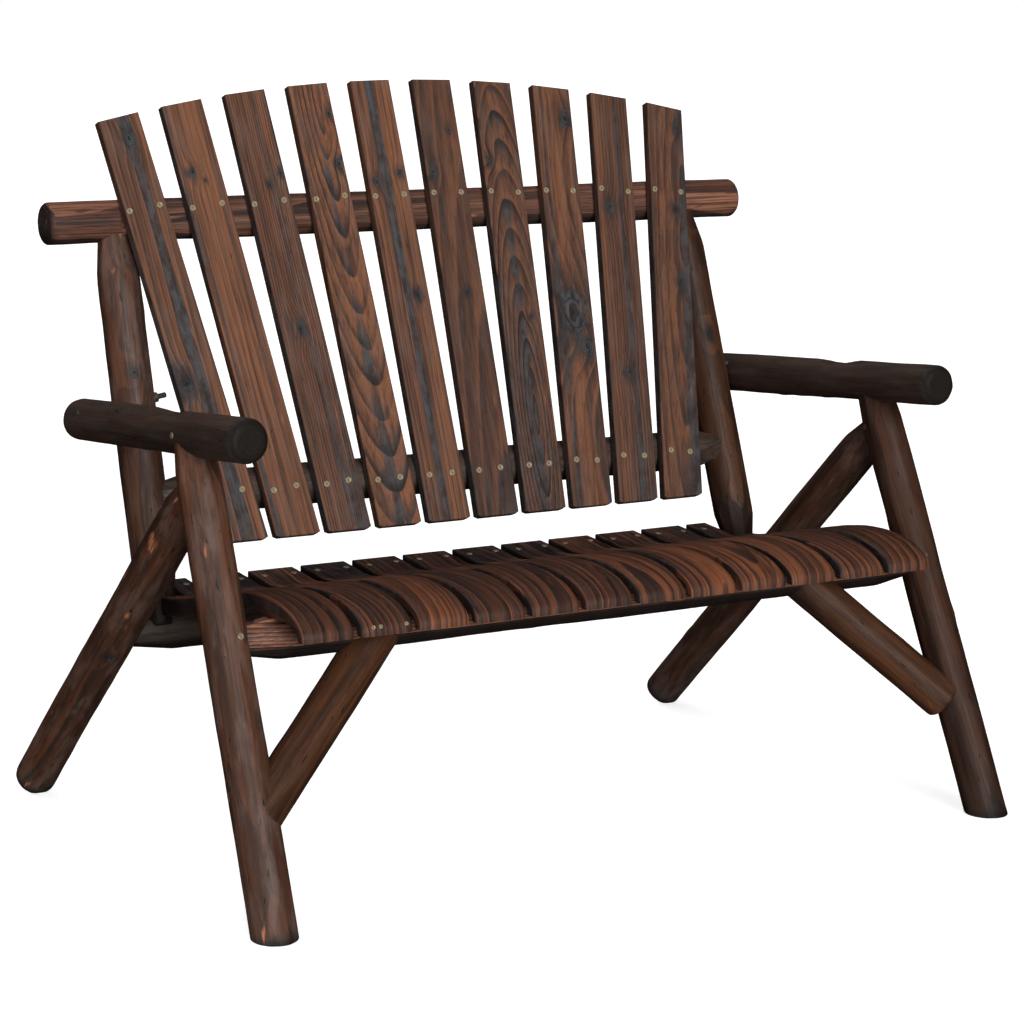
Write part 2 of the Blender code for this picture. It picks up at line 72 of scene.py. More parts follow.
FRONT_TIPS = {"end": (0.0228, 0.092)}       # tapered tips: (radius at the end, length)
REAR_TIPS = {"end": (0.0180, 0.090)}
POST_TIPS = {"start": (0.0165, 0.092), "end": (0.0190, 0.085)}
BEAM_TIPS = {"start": (0.0172, 0.088), "end": (0.0172, 0.088)}
RAIL_TIPS = {"start": (0.0155, 0.062), "end": (0.0155, 0.062)}

BACK_SLATS, SEAT_SLATS = 10, 12
NOTCHED_ENDS = {0: 1, SEAT_SLATS - 1: -1}   # seat slats with a notch: their whole side
BOARD_EDGE, SEAT_EDGE = 0.0024, 0.0030
BOARD_RIPPLE = 0.0003
OUTLINE_STEP = 0.0045
SMOOTH_TURN = 0.40              # radians: a sharper turn of an outline is a corner
SHARP_WOOD, SHARP_METAL = 0.6, 0.5          # radians: a sharper edge isn't shaded smooth
NOTCH_REACH, NOTCH_HEIGHT = 0.20, 0.34      # the cutter of a seat slat's notch

SEAT_FIGURE = (1.2, 0.65, 0.6)
NO_KNOT = (9.0, 9.0, 9.0, 0.0001)           # far off the piece
# Charring: how strong it is, and over what distance it fades.
FOOT_CHAR, FOOT_CHAR_HEIGHT = 0.36, 0.075
END_CHAR_FADE, START_CHAR_FADE = 0.012, 0.090
SLAT_FOOT_CHAR, SLAT_FOOT_FADE = 0.30, 0.045
# the boards' sides: charring, and painted shade where the boards face each other
SLAT_SIDE_CHAR_AND_SHADE, SEAT_SIDE_CHAR_AND_SHADE = 0.44, 0.45
SEAT_DARK_Y, SEAT_DARK_FADE = 0.030, 0.060  # the seat darkens from here backwards

SCREW_HEAD, NOSE_PIN_SHARE = 0.0046, 0.62   # a screw head's radius, and a nose pin's share of it
SCREW_POINT = 0.006
BOLT_HEAD, THREAD_PITCH, THREAD_DEPTH = 0.0045, 0.00125, 0.00055
THREAD_FROM = 0.55              # the share of a bolt's length that is smooth
HOLE_SLACK, HOLE_STEPS = 0.0004, 48         # a washer's or a nut's hole around its bolt
TOP_SCREW_RISE = (0.007, 0.008, 0.009, 0.013, 0.014, 0.014, 0.012, 0.011, 0.009, 0.005)
LOW_SCREW_RISE = -0.010         # the screws' height over a rail's axis, along a slat
BACK_SCREWS_HIGH, BACK_SCREWS_LOW = 0.0240, 0.0183  # half the space between a slat's screws
BACK_SCREWS_ACROSS = -0.0025    # the middle of two screws, from the slat's middle
SEAT_SCREWS, SEAT_SCREW_Y = 0.0230, 0.130
NOSE_PINS = {1: (-0.0190, -0.0085, 0.0290)}         # slat: across its nose
NOSE_SCREW_Y = -0.3560

STUDIO_GREY, FLOOR_GLOW, FLOOR_SIZE = 0.86, 0.70, 80.0
# The lamps: the direction each shines from, its softness in radians, and its strength.
LAMPS = (("key", (-0.14, -1.00, 0.24), 0.60, 3.1),
         ("side", (-1.00, -0.40, 0.20), 1.20, 0.55),
         ("top", (-0.20, 0.20, 1.00), 0.90, 0.85),
         ("bounce", (-0.25, -0.80, -0.60), 2.00, 0.35),
         ("rear", (0.50, 1.00, 0.22), 1.00, 1.90))
UP, RIGHT, FRONT = Vector((0, 0, 1)), Vector((1, 0, 0)), Vector((0, -1, 0))
LYING_LOG_UP = Vector((0.0, 0.13, 1.0))     # roughly up, for the angles round a lying log


# ---------------- node materials
class Graph:
    """A new material, with short calls for building its nodes."""

    def __init__(self, name):
        self.material = bpy.data.materials.new(name)
        self.material.use_nodes = True
        self.tree = self.material.node_tree
        self.shader = self.tree.nodes["Principled BSDF"]

    def add(self, kind, inputs=(), **settings):
        node = self.tree.nodes.new(kind)
        for key, value in settings.items():
            setattr(node, key, value)
        for socket, value in dict(inputs).items():
            self.feed(node.inputs[socket], value)
        return node

    def feed(self, socket, value):
        if isinstance(value, bpy.types.NodeSocket):
            self.tree.links.new(value, socket)
        else:
            socket.default_value = value

    def attribute(self, name, output="Vector"):
        return self.add("ShaderNodeAttribute", attribute_name=name).outputs[output]

    def math(self, operation, a, b=0.0, clamp=False):
        node = self.add("ShaderNodeMath", {0: a, 1: b}, operation=operation, use_clamp=clamp)
        return node.outputs[0]

    def total(self, *values):
        return reduce(lambda a, b: self.math("ADD", a, b), values)

    def times(self, *values):
        return reduce(lambda a, b: self.math("MULTIPLY", a, b), values)

    def vector(self, operation, a, b=(0.0, 0.0, 0.0), output="Vector"):
        node = self.add("ShaderNodeVectorMath", {0: a, 1: b}, operation=operation)
        return node.outputs[output]

    def parts(self, vector):
        return self.add("ShaderNodeSeparateXYZ", {0: vector}).outputs

    def stretched(self, vector, across, along, offset=None):
        if offset:
            vector = self.vector("ADD", vector, offset)
        return self.vector("MULTIPLY", vector, (across, across, along))

    def noise(self, vector, detail=2.0, roughness=0.5):
        sockets = {"Vector": vector, "Scale": 1.0, "Detail": detail, "Roughness": roughness}
        return self.add("ShaderNodeTexNoise", sockets).outputs[0]

    def random(self, value):
        return self.add("ShaderNodeTexWhiteNoise", {"W": value},
                        noise_dimensions="1D").outputs["Value"]

    def ramp(self, value, low, high, start=0.0, end=1.0):
        sockets = {"Value": value, "From Min": low, "From Max": high, "To Min": start, "To Max": end}
        return self.add("ShaderNodeMapRange", sockets, interpolation_type="SMOOTHSTEP").outputs[0]

    def mix(self, factor, a, b, mode="MIX"):
        node = self.add("ShaderNodeMix", data_type="RGBA", blend_type=mode, clamp_factor=True)
        self.feed(node.inputs["Factor"], factor)
        for socket, value in ((node.inputs[6], a), (node.inputs[7], b)):
            self.feed(socket, (*value, 1.0) if isinstance(value, tuple) else value)
        return node.outputs[2]

    def coated(self, colour, look, coats):
        """A colour under coats, each of them (how much of it, the name of its colour)."""
        for amount, name in coats:
            colour = self.mix(amount, colour, look[name])
        return colour

    def shade(self, **sockets):
        for name, value in sockets.items():
            self.feed(self.shader.inputs[name.replace("_", " ")], value)

    def bump(self, height, strength=1.0):
        sockets = {"Height": height, "Distance": 1.0, "Strength": strength}
        self.feed(self.shader.inputs["Normal"], self.add("ShaderNodeBump", sockets).outputs[0])


def around_knots(g, board, wood):
    """How far the three knots push the rings out, and the distance to the nearest in its radii."""
    sizes = g.parts(g.attribute("knot_sizes"))
    uneven = g.ramp(g.noise(g.stretched(wood, 120.0, 70.0), 1.0), 0.2, 0.8, 0.80, 1.25)
    pushes, ratios = [], []
    for index in range(3):
        reach = g.vector("SUBTRACT", board, g.attribute(f"knot_{index + 1}"))
        reach = g.vector("MULTIPLY", reach, (1.0, 0.5, 0.66))
        ratio = g.math("DIVIDE", g.vector("LENGTH", reach, output="Value"),
                       g.math("MAXIMUM", sizes[index], 0.0001))
        pushes.append(g.times(g.math("EXPONENT", g.times(ratio, ratio, -0.16)), sizes[index], 1.1))
        ratios.append(g.times(ratio, uneven))
    return pushes, reduce(lambda a, b: g.math("MINIMUM", a, b), ratios)


def stripe(g, name, board, drift, near, far):
    """How much of a stripe (across, half width, strength) shows at a place on a board."""
    across, width, strength = g.parts(g.attribute(name))
    away = g.math("ABSOLUTE", g.math("SUBTRACT", g.parts(board)[0], across))
    away = g.math("DIVIDE", g.total(away, drift), width)
    return g.times(g.ramp(away, near, far, 1.0, 0.0), strength)


def burnt_wood(name, look):
    """Scorched softwood. The growth rings come from the distance to the pith, in wood space.

    Point attributes of the pieces: wood is a place in wood space (across, depth, along), and
    board is the same place measured on the piece. traits holds how charred it is, how orange,
    and the ring spacing. figure scales how strongly late wood, fine lines and waviness show.
    band is a charred stripe and warm_band an orange one. knot_1 to knot_3 are places on the
    piece, and knot_sizes their radii. char adds to the charring, and on the undersides of logs
    and the sides of boards it also holds painted shade. shade darkens the piece.
    """
    g = Graph(name)
    wood, board = g.attribute("wood"), g.attribute("board")
    charred, warm, spacing = g.parts(g.attribute("traits"))
    show_late, show_fine, unruly = g.parts(g.attribute("figure"))
    local_char = g.attribute("char", "Fac")

    wave = g.math("SUBTRACT", g.noise(g.stretched(wood, 15.0, 2.6), 1.0), 0.5)
    wobble = g.math("SUBTRACT", g.noise(g.stretched(wood, 85.0, 11.0), 2.0), 0.5)
    across, depth, _ = g.parts(wood)
    pushes, nearest = around_knots(g, board, wood)
    radius = g.total(g.math("SQRT", g.total(g.times(across, across), g.times(depth, depth))),
                     g.times(wave, look["wave"], unruly), g.times(wobble, look["wobble"], unruly),
                     *pushes)
    core, halo, scar = (g.ramp(nearest, low, high, 1.0, 0.0)
                        for low, high in ((0.70, 1.05), (0.90, 2.60), (0.08, 0.30)))
    knot_ring = g.ramp(g.math("FRACT", g.times(nearest, 3.3)), 0.35, 0.95)

    turns = g.total(g.math("DIVIDE", radius, spacing),
                    g.times(g.noise(g.stretched(wood, 40.0, 1.2), 1.0), 0.9, unruly))
    ring, inside = g.math("FLOOR", turns), g.math("FRACT", turns)
    tone, second_tone = g.random(ring), g.random(g.total(ring, 37.7))
    late = g.times(g.ramp(inside, look["late_from"], 0.93), g.ramp(inside, 0.955, 1.0, 1.0, 0.0),
                   show_late, g.ramp(second_tone, 0.10, 0.80, 0.45, 1.0))
    rim = g.times(g.ramp(inside, 0.0, 0.05), g.ramp(inside, 0.10, 0.30, 1.0, 0.0))

    fibre = g.noise(g.stretched(wood, 330.0, 6.5), 3.0, 0.62)
    pores = g.noise(g.stretched(wood, 1500.0, 26.0), 1.0)
    streak = g.noise(g.stretched(wood, look["streak_scale"], 2.0), 2.0, 0.55)
    lines = g.noise(g.stretched(wood, 560.0, 3.4), 1.0)
    patch = g.noise(g.stretched(wood, 20.0, 2.6), 3.0, 0.55)
    glow = g.noise(g.stretched(wood, 26.0, 3.2, (3.1, 1.7, 5.3)), 2.0)
    mottle = g.noise(g.stretched(board, 62.0, 34.0), 3.0, 0.6)
    # painted sheen: greyish patches that stand in for the wood's satin sheen
    painted_sheen = g.noise(g.stretched(board, *look["painted_sheen_scale"], (5.1, 8.3, 2.7)), 4.0, 0.62)
    scuff = g.noise(g.stretched(board, 56.0, 11.5, (7.7, 2.2, 0.6)), 2.0)
    pit = g.noise(g.stretched(board, 210.0, 42.0, (1.2, 4.4, 2.9)), 2.0)

    warm_stripe = stripe(g, "warm_band", board, g.times(wave, 0.020), 0.30, 1.30)
    heat = g.total(g.times(tone, 0.20), g.times(glow, 0.66), warm, g.times(inside, -0.20),
                   g.times(fibre, 0.16), warm_stripe)
    colour = g.mix(g.ramp(heat, 0.30, 0.78), look["brown"], look["orange"])
    fine = [g.times(g.ramp(value, low, high, 0.0, share), show_fine) for value, low, high, share in (
        (fibre, 0.50, 0.70, look["fibre"]), (pores, 0.52, 0.74, look["fibre"] * 0.8),
        (lines, 0.50, 0.64, look["lines"]))]
    # the last coat is the painted sheen; the coats before it are the wood's own streaks, rings and lines
    colour = g.coated(colour, look, (
        (g.ramp(streak, 0.42, 0.70, 0.0, look["streak"]), "dark"),
        (g.times(rim, look["rim"]), "orange"), (g.times(late, look["late"]), "dark"),
        (fine[0], "dark"), (fine[1], "dark"), (fine[2], "dark"),
        (g.ramp(painted_sheen, 0.46, 0.68, 0.0, look["painted_sheen_share"]), "painted_sheen")))

    black_stripe = stripe(g, "band", board, g.times(wave, 0.016), 0.35, 1.25)
    char = g.total(g.times(patch, 0.80), g.times(second_tone, 0.22), g.times(inside, 0.26),
                   g.times(black_stripe, 0.60), charred, local_char, g.times(halo, 0.26))
    char = g.ramp(char, 0.80, 1.10)
    coal = g.mix(g.ramp(mottle, 0.36, 0.62), look["char"], look["char_blue"])
    ash = g.coated(coal, look, ((g.ramp(fibre, 0.36, 0.60, 0.35, 0.0), "brown"),
                                (g.times(late, 0.7), "soot")))
    colour = g.mix(g.times(char, look["char_share"]), colour, ash)

    colour = g.mix(g.times(halo, 0.40), colour, look["dark"])
    knot = g.mix(g.times(knot_ring, 0.8), coal, look["soot"])
    colour = g.mix(g.times(core, 0.94), colour, knot)
    scuff_from = look["scuff_from"]
    worn = g.ramp(scuff, scuff_from - 0.06, scuff_from + 0.03, 0.0, 0.40)
    scuff = g.times(g.ramp(scuff, scuff_from, scuff_from + 0.045), g.ramp(fibre, 0.40, 0.54))
    pit = g.times(g.ramp(pit, 0.69, 0.74), look["pits"])
    colour = g.coated(colour, look, (
        (g.times(scar, 0.85), "soot"), (worn, "orange"), (g.times(scuff, 0.75), "scuff"),
        (pit, "soot"), (g.attribute("shade", "Fac"), "dark"),
        (g.ramp(local_char, 0.35, 0.85, 0.0, 0.82), "soot")))

    relief = look["relief"]
    rough = g.total(g.ramp(fibre, 0.3, 0.7, look["gloss"], look["gloss"] + 0.14),
                    g.times(char, 0.10), g.times(core, 0.08), g.times(g.ramp(mottle, 0.3, 0.7), 0.05))
    height = g.total(g.times(late, 0.00020 * relief), g.times(fibre, 0.00042 * relief),
                     g.times(pores, 0.00006 * relief), g.times(streak, 0.00030 * relief),
                     g.times(core, -0.00035), g.times(scar, -0.0010), g.times(pit, -0.0005),
                     g.times(g.ramp(lines, 0.50, 0.64), -0.00016 * relief))
    sheen = g.ramp(local_char, 0.2, 0.8, look["specular"], look["specular"] * 0.3)
    g.shade(Base_Color=colour, Roughness=rough, Specular_IOR_Level=sheen,
            Coat_Weight=look["coat"], Coat_Roughness=0.32)
    g.bump(height)
    return g.material


def metal(name, colour, worn, stain, roughness, scale=900.0, metallic=0.5):
    """Metal with stains in patches and paler worn spots."""
    g = Graph(name)
    place = g.add("ShaderNodeTexCoord").outputs["Object"]
    spots = g.noise(g.stretched(place, scale, scale), 3.0, 0.6)
    fine = g.noise(g.stretched(place, scale * 3.3, scale * 3.3), 2.0)
    tone = g.mix(g.ramp(spots, 0.42, 0.68), colour, stain)
    tone = g.mix(g.ramp(fine, 0.56, 0.76, 0.0, 0.6), tone, worn)
    g.shade(Base_Color=tone, Metallic=metallic,
            Roughness=g.ramp(spots, 0.3, 0.75, roughness, roughness + 0.25))
    g.bump(g.times(fine, 0.00004))
    return g.material


# In each look the greyish colour of the patches is a painted sheen; the other colours are the wood's own.
SLAT_LOOK = dict(brown=(0.098, 0.041, 0.024), orange=(0.215, 0.083, 0.038),
                 dark=(0.026, 0.0135, 0.0100), char=(0.021, 0.019, 0.020),
                 painted_sheen=(0.155, 0.092, 0.070), painted_sheen_share=0.40, painted_sheen_scale=(60.0, 9.0),
                 char_blue=(0.055, 0.064, 0.071), soot=(0.0090, 0.0065, 0.0055),
                 scuff=(0.34, 0.20, 0.12), scuff_from=0.74, wave=0.018, wobble=0.0018, late=0.90,
                 late_from=0.52, rim=0.58, fibre=0.80, streak=0.66, streak_scale=120.0, lines=0.55,
                 char_share=0.92, gloss=0.48, relief=1.0, specular=0.24, coat=0.02, pits=0.60)
SEAT_LOOK = dict(SLAT_LOOK, brown=(0.070, 0.026, 0.015), orange=(0.235, 0.076, 0.032),
                 painted_sheen_share=0.15,
                 dark=(0.012, 0.0075, 0.0065), char=(0.015, 0.012, 0.011),
                 char_blue=(0.034, 0.036, 0.040), wave=0.030, wobble=0.0030, late=0.88,
                 late_from=0.40, rim=0.25, gloss=0.42)
RAIL_LOOK = dict(SEAT_LOOK, brown=(0.140, 0.060, 0.039), orange=(0.420, 0.180, 0.104), late=0.86,
                 wave=0.012, wobble=0.0022)
LOG_LOOK = dict(brown=(0.062, 0.029, 0.018), orange=(0.150, 0.054, 0.025), dark=(0.015, 0.009, 0.007),
                char=(0.020, 0.016, 0.014), char_blue=(0.070, 0.059, 0.052),
                soot=(0.0080, 0.0065, 0.0055), scuff=(0.66, 0.25, 0.12), scuff_from=0.680,
                painted_sheen=(0.175, 0.112, 0.090), painted_sheen_share=0.55, painted_sheen_scale=(44.0, 10.0),
                wave=0.024, wobble=0.0024, late=0.24, late_from=0.25, rim=0.10, fibre=0.46,
                streak=0.66, streak_scale=62.0, lines=0.30, char_share=0.80, gloss=0.42, relief=0.8,
                specular=0.28, coat=0.03, pits=1.0)
RIGHT_LOOK = dict(LOG_LOOK, brown=(0.025, 0.0115, 0.0072), orange=(0.068, 0.025, 0.012),
                  dark=(0.011, 0.0065, 0.0050), char=(0.013, 0.010, 0.009),
                  char_blue=(0.024, 0.020, 0.018), scuff_from=0.780, specular=0.16,
                  painted_sheen=(0.062, 0.038, 0.029), painted_sheen_share=0.5)
BRACE_LOOK = dict(RIGHT_LOOK, brown=(0.036, 0.0145, 0.0080), orange=(0.105, 0.039, 0.016),
                  painted_sheen=(0.088, 0.043, 0.024), scuff_from=0.700)
REAR_LOOK = dict(LOG_LOOK, scuff_from=0.770)
ARM_LOOK = dict(LOG_LOOK, brown=(0.054, 0.034, 0.025), orange=(0.085, 0.044, 0.029),
                dark=(0.022, 0.015, 0.012), char=(0.021, 0.018, 0.016), char_blue=(0.034, 0.031, 0.028),
                painted_sheen=(0.080, 0.058, 0.048), painted_sheen_share=0.45,
                scuff=(0.14, 0.095, 0.070), scuff_from=0.73, gloss=0.42)

slat_wood = burnt_wood("slat_wood", SLAT_LOOK)
seat_wood = burnt_wood("seat_wood", SEAT_LOOK)
log_wood = burnt_wood("log_wood", LOG_LOOK)
arm_wood = burnt_wood("arm_wood", ARM_LOOK)
rail_wood = burnt_wood("rail_wood", RAIL_LOOK)
right_wood = burnt_wood("right_wood", RIGHT_LOOK)
brace_wood = burnt_wood("brace_wood", BRACE_LOOK)
rear_wood = burnt_wood("rear_wood", REAR_LOOK)
brass = metal("screw_brass", (0.36, 0.30, 0.19), (0.60, 0.52, 0.36), (0.13, 0.10, 0.060), 0.42)
dull_brass = metal("screw_dull", (0.075, 0.056, 0.036), (0.15, 0.12, 0.08), (0.045, 0.032, 0.02), 0.5)
steel = metal("bolt_steel", (0.075, 0.068, 0.062), (0.30, 0.28, 0.26), (0.060, 0.032, 0.020), 0.42, 500.0)


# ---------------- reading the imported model
def node_faces(name):
    """Centres, normals and areas of a node's faces, and its vertices."""
    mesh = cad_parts[name].data
    count = len(mesh.polygons)
    centres, normals, areas = np.empty(count * 3), np.empty(count * 3), np.empty(count)
    mesh.polygons.foreach_get("center", centres)
    mesh.polygons.foreach_get("normal", normals)
    mesh.polygons.foreach_get("area", areas)
    places = np.array([vertex.co for vertex in mesh.vertices])
    return centres.reshape(-1, 3), normals.reshape(-1, 3), areas, places


def thickness_along(name, axis):
    places = node_faces(name)[3]
    return float(np.ptp(places @ np.array(axis)))


class Log:
    """A log's axis, radius and ends, fitted to the flat sides of its node."""

    def __init__(self, name, towards):
        centres, normals, areas, places = node_faces(name)
        middle = places.mean(0)
        direction = np.linalg.svd(places - middle)[2][0]
        for tolerance in (0.30, 0.10, 0.03, 0.01):
            side = np.abs(normals @ direction) < tolerance
            weighted = normals[side] * np.sqrt(areas[side, None])
            direction = np.linalg.svd(weighted)[2][2]
        if direction @ np.array(towards) < 0:
            direction = -direction
        side = np.abs(normals @ direction) < SIDE_TILT
        rows = np.hstack([normals[side], np.ones((side.sum(), 1))])
        reach = ((centres[side] - middle) * normals[side]).sum(1)
        weights = areas[side].copy()
        for _ in range(FIT_ROUNDS):
            scale = np.sqrt(weights)[:, None]
            level = np.vstack([rows * scale, [*direction, 0.0]])
            found = np.linalg.lstsq(level, np.append(reach * scale[:, 0], 0.0), rcond=None)[0]
            weights = areas[side] / (np.abs(rows @ found - reach) + 1e-5)
        along = (places - middle) @ direction
        self.along = Vector(direction)
        self.start = Vector(middle + found[:3]) + self.along * along.min()
        self.length = float(along.max() - along.min())
        offsets = places - np.array(self.start)
        offsets -= np.outer(offsets @ direction, direction)
        self.radius = float(np.percentile(np.linalg.norm(offsets, axis=1), 98))
        upright = abs(self.along.z) > 0.5
        self.right = self.along.cross(-FRONT if upright else LYING_LOG_UP).normalized()
        self.up = self.right.cross(self.along).normalized()

    def point(self, distance):
        return self.start + self.along * distance

    def at(self, place):
        """(across, depth, along) of a point, measured from the log's start."""
        offset = place - self.start
        return offset.dot(self.right), offset.dot(self.up), offset.dot(self.along)


class Pin:
    """The axis and size of a small turned node. It runs from its wider end."""

    def __init__(self, name):
        places = node_faces(name)[3]
        middle = places.mean(0)
        axis = self.turning_axis(places - middle)
        along = (places - middle) @ axis
        radii = np.linalg.norm(places - middle - np.outer(along, axis), axis=1)
        if along[radii > radii.max() * 0.98].mean() > 0:
            axis, along = -axis, -along
        self.radius = float(radii.max())
        self.shank = float(radii[along > along.min() + 0.6 * np.ptp(along)].max())
        self.length = float(np.ptp(along))
        self.axis = Vector(axis)
        self.start = Vector(middle) + self.axis * float(along.min())

    @staticmethod
    def turning_axis(offsets):
        """The direction around which the points lie on circles."""
        _, spread, directions = np.linalg.svd(offsets, full_matrices=False)
        alike = abs(spread[1] - spread[2]) < abs(spread[0] - spread[1])
        return directions[0] if alike else directions[2]


def flat_outline(name, facing):
    """The corners of a node's largest flat face that faces a direction, in order."""
    form = bmesh.new()
    form.from_mesh(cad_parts[name].data)
    bmesh.ops.remove_doubles(form, verts=form.verts, dist=0.00002)
    bmesh.ops.dissolve_limit(form, angle_limit=0.004, verts=form.verts, edges=form.edges)
    facing_faces = [face for face in form.faces if face.normal.dot(facing) > 0.9]
    best = max(facing_faces, key=lambda face: face.calc_area())
    corners, normal = [vert.co.copy() for vert in best.verts], best.normal.copy()
    form.free()
    return corners, normal


def crossings(outline, axis, level):
    """Where an outline's edges cross a level of an axis, each with its edge's direction."""
    for a, b in zip(outline, outline[1:] + outline[:1]):
        step = b - a
        if min(a[axis], b[axis]) <= level <= max(a[axis], b[axis]) and abs(step[axis]) > 1e-6:
            yield a + step * ((level - a[axis]) / step[axis]), step.normalized()


def edge_x(name, height, furthest):
    """Where a leaning board's outline is furthest along the bench at a height."""
    corners, _ = flat_outline(name, FRONT)
    return furthest(place.x for place, _ in crossings(corners, 2, height))


def height_on(outline, y):
    """The top of a seat slat at a place from front to back, and its normal there."""
    place, slope = max(crossings(outline, 1, y), key=lambda found: found[0].z)
    normal = Vector((0, -slope.z, slope.y))
    return place.z, normal if normal.z > 0 else -normal


def seat_notch_x(name, notch_y):
    """Where the notch for a post ends, across the bench: the face that looks outwards in it."""
    centres, normals, _, _ = node_faces(name)
    low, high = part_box(name)
    inside = (np.abs(normals[:, 0]) > 0.99) & (centres[:, 1] > notch_y + 0.002)
    inside &= (centres[:, 0] > low.x + 0.004) & (centres[:, 0] < high.x - 0.004)
    return float(centres[inside, 0].mean())


def beam_bed(name):
    """The height of a beam's planed flat, from its faces that look straight up."""
    centres, normals, areas, _ = node_faces(name)
    level = normals[:, 2] > 0.9999
    return float(np.average(centres[level, 2], weights=areas[level]))


# ---------------- making pieces
def in_scene(name, data):
    """A new object of a mesh, a light or a camera, linked to the scene."""
    item = bpy.data.objects.new(name, data)
    bpy.context.scene.collection.objects.link(item)
    return item


def smoothed(mesh, sharp):
    mesh.shade_smooth()
    mesh.set_sharp_from_angle(angle=sharp)
    return mesh


def finished(form, name):
    """The mesh of a turned or cut form."""
    mesh = bpy.data.meshes.new(name)
    form.to_mesh(mesh)
    form.free()
    return smoothed(mesh, SHARP_METAL)


def smooth_mesh(name, places, faces):
    """A wooden skin with its faces turned outwards."""
    mesh = bpy.data.meshes.new(name)
    mesh.from_pydata([tuple(place) for place in places], [], faces)
    mesh.validate()
    form = bmesh.new()
    form.from_mesh(mesh)
    bmesh.ops.recalc_face_normals(form, faces=form.faces)
    form.to_mesh(mesh)
    form.free()
    return smoothed(mesh, SHARP_WOOD)


def carved(mesh, cutters, sharp):
    """A mesh with the volumes of the cutters' meshes taken out of it."""
    body = in_scene("body", mesh)
    tools = [in_scene("cutter", cutter) for cutter in cutters]
    for tool in tools:
        boolean = body.modifiers.new("cut", "BOOLEAN")
        boolean.operation = "DIFFERENCE"
        boolean.object = tool
    graph = bpy.context.evaluated_depsgraph_get()
    result = bpy.data.meshes.new_from_object(body.evaluated_get(graph))
    for item in (body, *tools):
        bpy.data.objects.remove(item, do_unlink=True)
    return smoothed(result, sharp)


def new_piece(name, mesh, material, node):
    """A finished piece of the object, which stands for a CAD node."""
    piece = in_scene(name, mesh)
    mesh.materials.clear()
    mesh.materials.append(material)
    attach(piece, "root")
    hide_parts(node)
    return piece


def store(mesh, name, kind, values):
    """A point attribute; one value may stand for all the points."""
    data = np.asarray(values, np.float32)
    width = 3 if kind == "FLOAT_VECTOR" else 1
    data = np.broadcast_to(data.reshape(-1, width), (len(mesh.vertices), width))
    layer = mesh.attributes.new(name, kind, "POINT")
    layer.data.foreach_set("vector" if width == 3 else "value", np.ascontiguousarray(data).ravel())


def grow_wood(mesh, board, wood, traits, knots, char, figure, shade=0.0,
              band=(0.0, 1.0, 0.0), warm_band=(0.0, 1.0, 0.0)):
    """Give a piece's points the attributes that burnt_wood reads."""
    knots = list(knots) + [NO_KNOT] * (3 - len(knots))
    vectors = dict(board=board, wood=wood, traits=traits, figure=figure, band=band,
                   warm_band=warm_band, knot_sizes=[knot[3] for knot in knots])
    vectors.update({f"knot_{index + 1}": knot[:3] for index, knot in enumerate(knots)})
    for name, values in vectors.items():
        store(mesh, name, "FLOAT_VECTOR", values)
    store(mesh, "char", "FLOAT", char)
    store(mesh, "shade", "FLOAT", shade)


# ---------------- logs
def rounded_end(distance, edge):
    """How much a sawn end's rounding takes off the radius at a distance from the end."""
    if distance >= edge:
        return 0.0
    return edge - (edge ** 2 - (edge - distance) ** 2) ** 0.5


def whittled(tips, draw):
    """Flat knife cuts around each tapered tip: (end, angle, radius at the end, length)."""
    cuts = []
    for end, (tip_radius, length) in tips.items():
        turn = draw.random()
        for index in range(TIP_CUTS):
            angle = tau * (index + turn + draw.uniform(-0.16, 0.16)) / TIP_CUTS
            cuts.append((end, angle, tip_radius * draw.uniform(0.93, 1.03),
                         length * draw.uniform(0.84, 1.12)))
    return cuts


class LogSkin:
    """The uneven surface of one log: its radius at a distance along it and an angle round it."""

    def __init__(self, log, tips, seed):
        draw = Random(seed)
        self.log, self.seed = log, seed
        self.cuts = whittled(tips, draw)
        self.lumps = [(draw.uniform(0.08, 0.92) * log.length, draw.uniform(0, tau),
                       draw.uniform(0.0005, 0.0012)) for _ in range(LUMPS)]
        self.edges = [TIP_EDGE if end in tips else SAWN_EDGE for end in ("start", "end")]

    def radius(self, distance, angle):
        """The log's radius with a slow swell, a fine ripple, lumps, knife cuts and round ends."""
        log, x, y = self.log, cos(angle), sin(angle)
        radius = log.radius + LOG_RIPPLE * 2.2 * noise.noise(
            Vector((x * 1.1, y * 1.1, distance * 5.0 + self.seed * 3.7)))
        radius += LOG_RIPPLE * noise.noise(Vector((x * 3.2, y * 3.2, distance * 22 + self.seed)))
        for at, turn, size in self.lumps:
            away = hypot(distance - at, 0.06 * sin((angle - turn) / 2))
            radius += size * exp(-(away / LUMP_WIDTH) ** 2)
        for end, turn, tip_radius, length in self.cuts:
            from_end = distance if end == "start" else log.length - distance
            facing = cos(angle - turn)
            if facing > 0.3 and from_end < length:
                limit = tip_radius + (log.radius * 1.02 - tip_radius) * from_end / length
                radius = min(radius, limit / facing)
        radius -= rounded_end(max(0.0, distance), self.edges[0])
        return radius - rounded_end(max(0.0, log.length - distance), self.edges[1])

    def place(self, distance, angle, radius):
        """A point of the surface, on a log that bends a little off its axis."""
        log = self.log
        swing = sin(pi * min(1.0, max(0.0, distance / log.length))) * LOG_CROOK * 2
        drift_x = noise.noise(Vector((self.seed, 0.3, distance * 3.1))) * swing
        drift_y = noise.noise(Vector((self.seed, 7.9, distance * 3.1))) * swing
        return (log.point(distance) + log.right * (radius * cos(angle) + drift_x)
                + log.up * (radius * sin(angle) + drift_y))


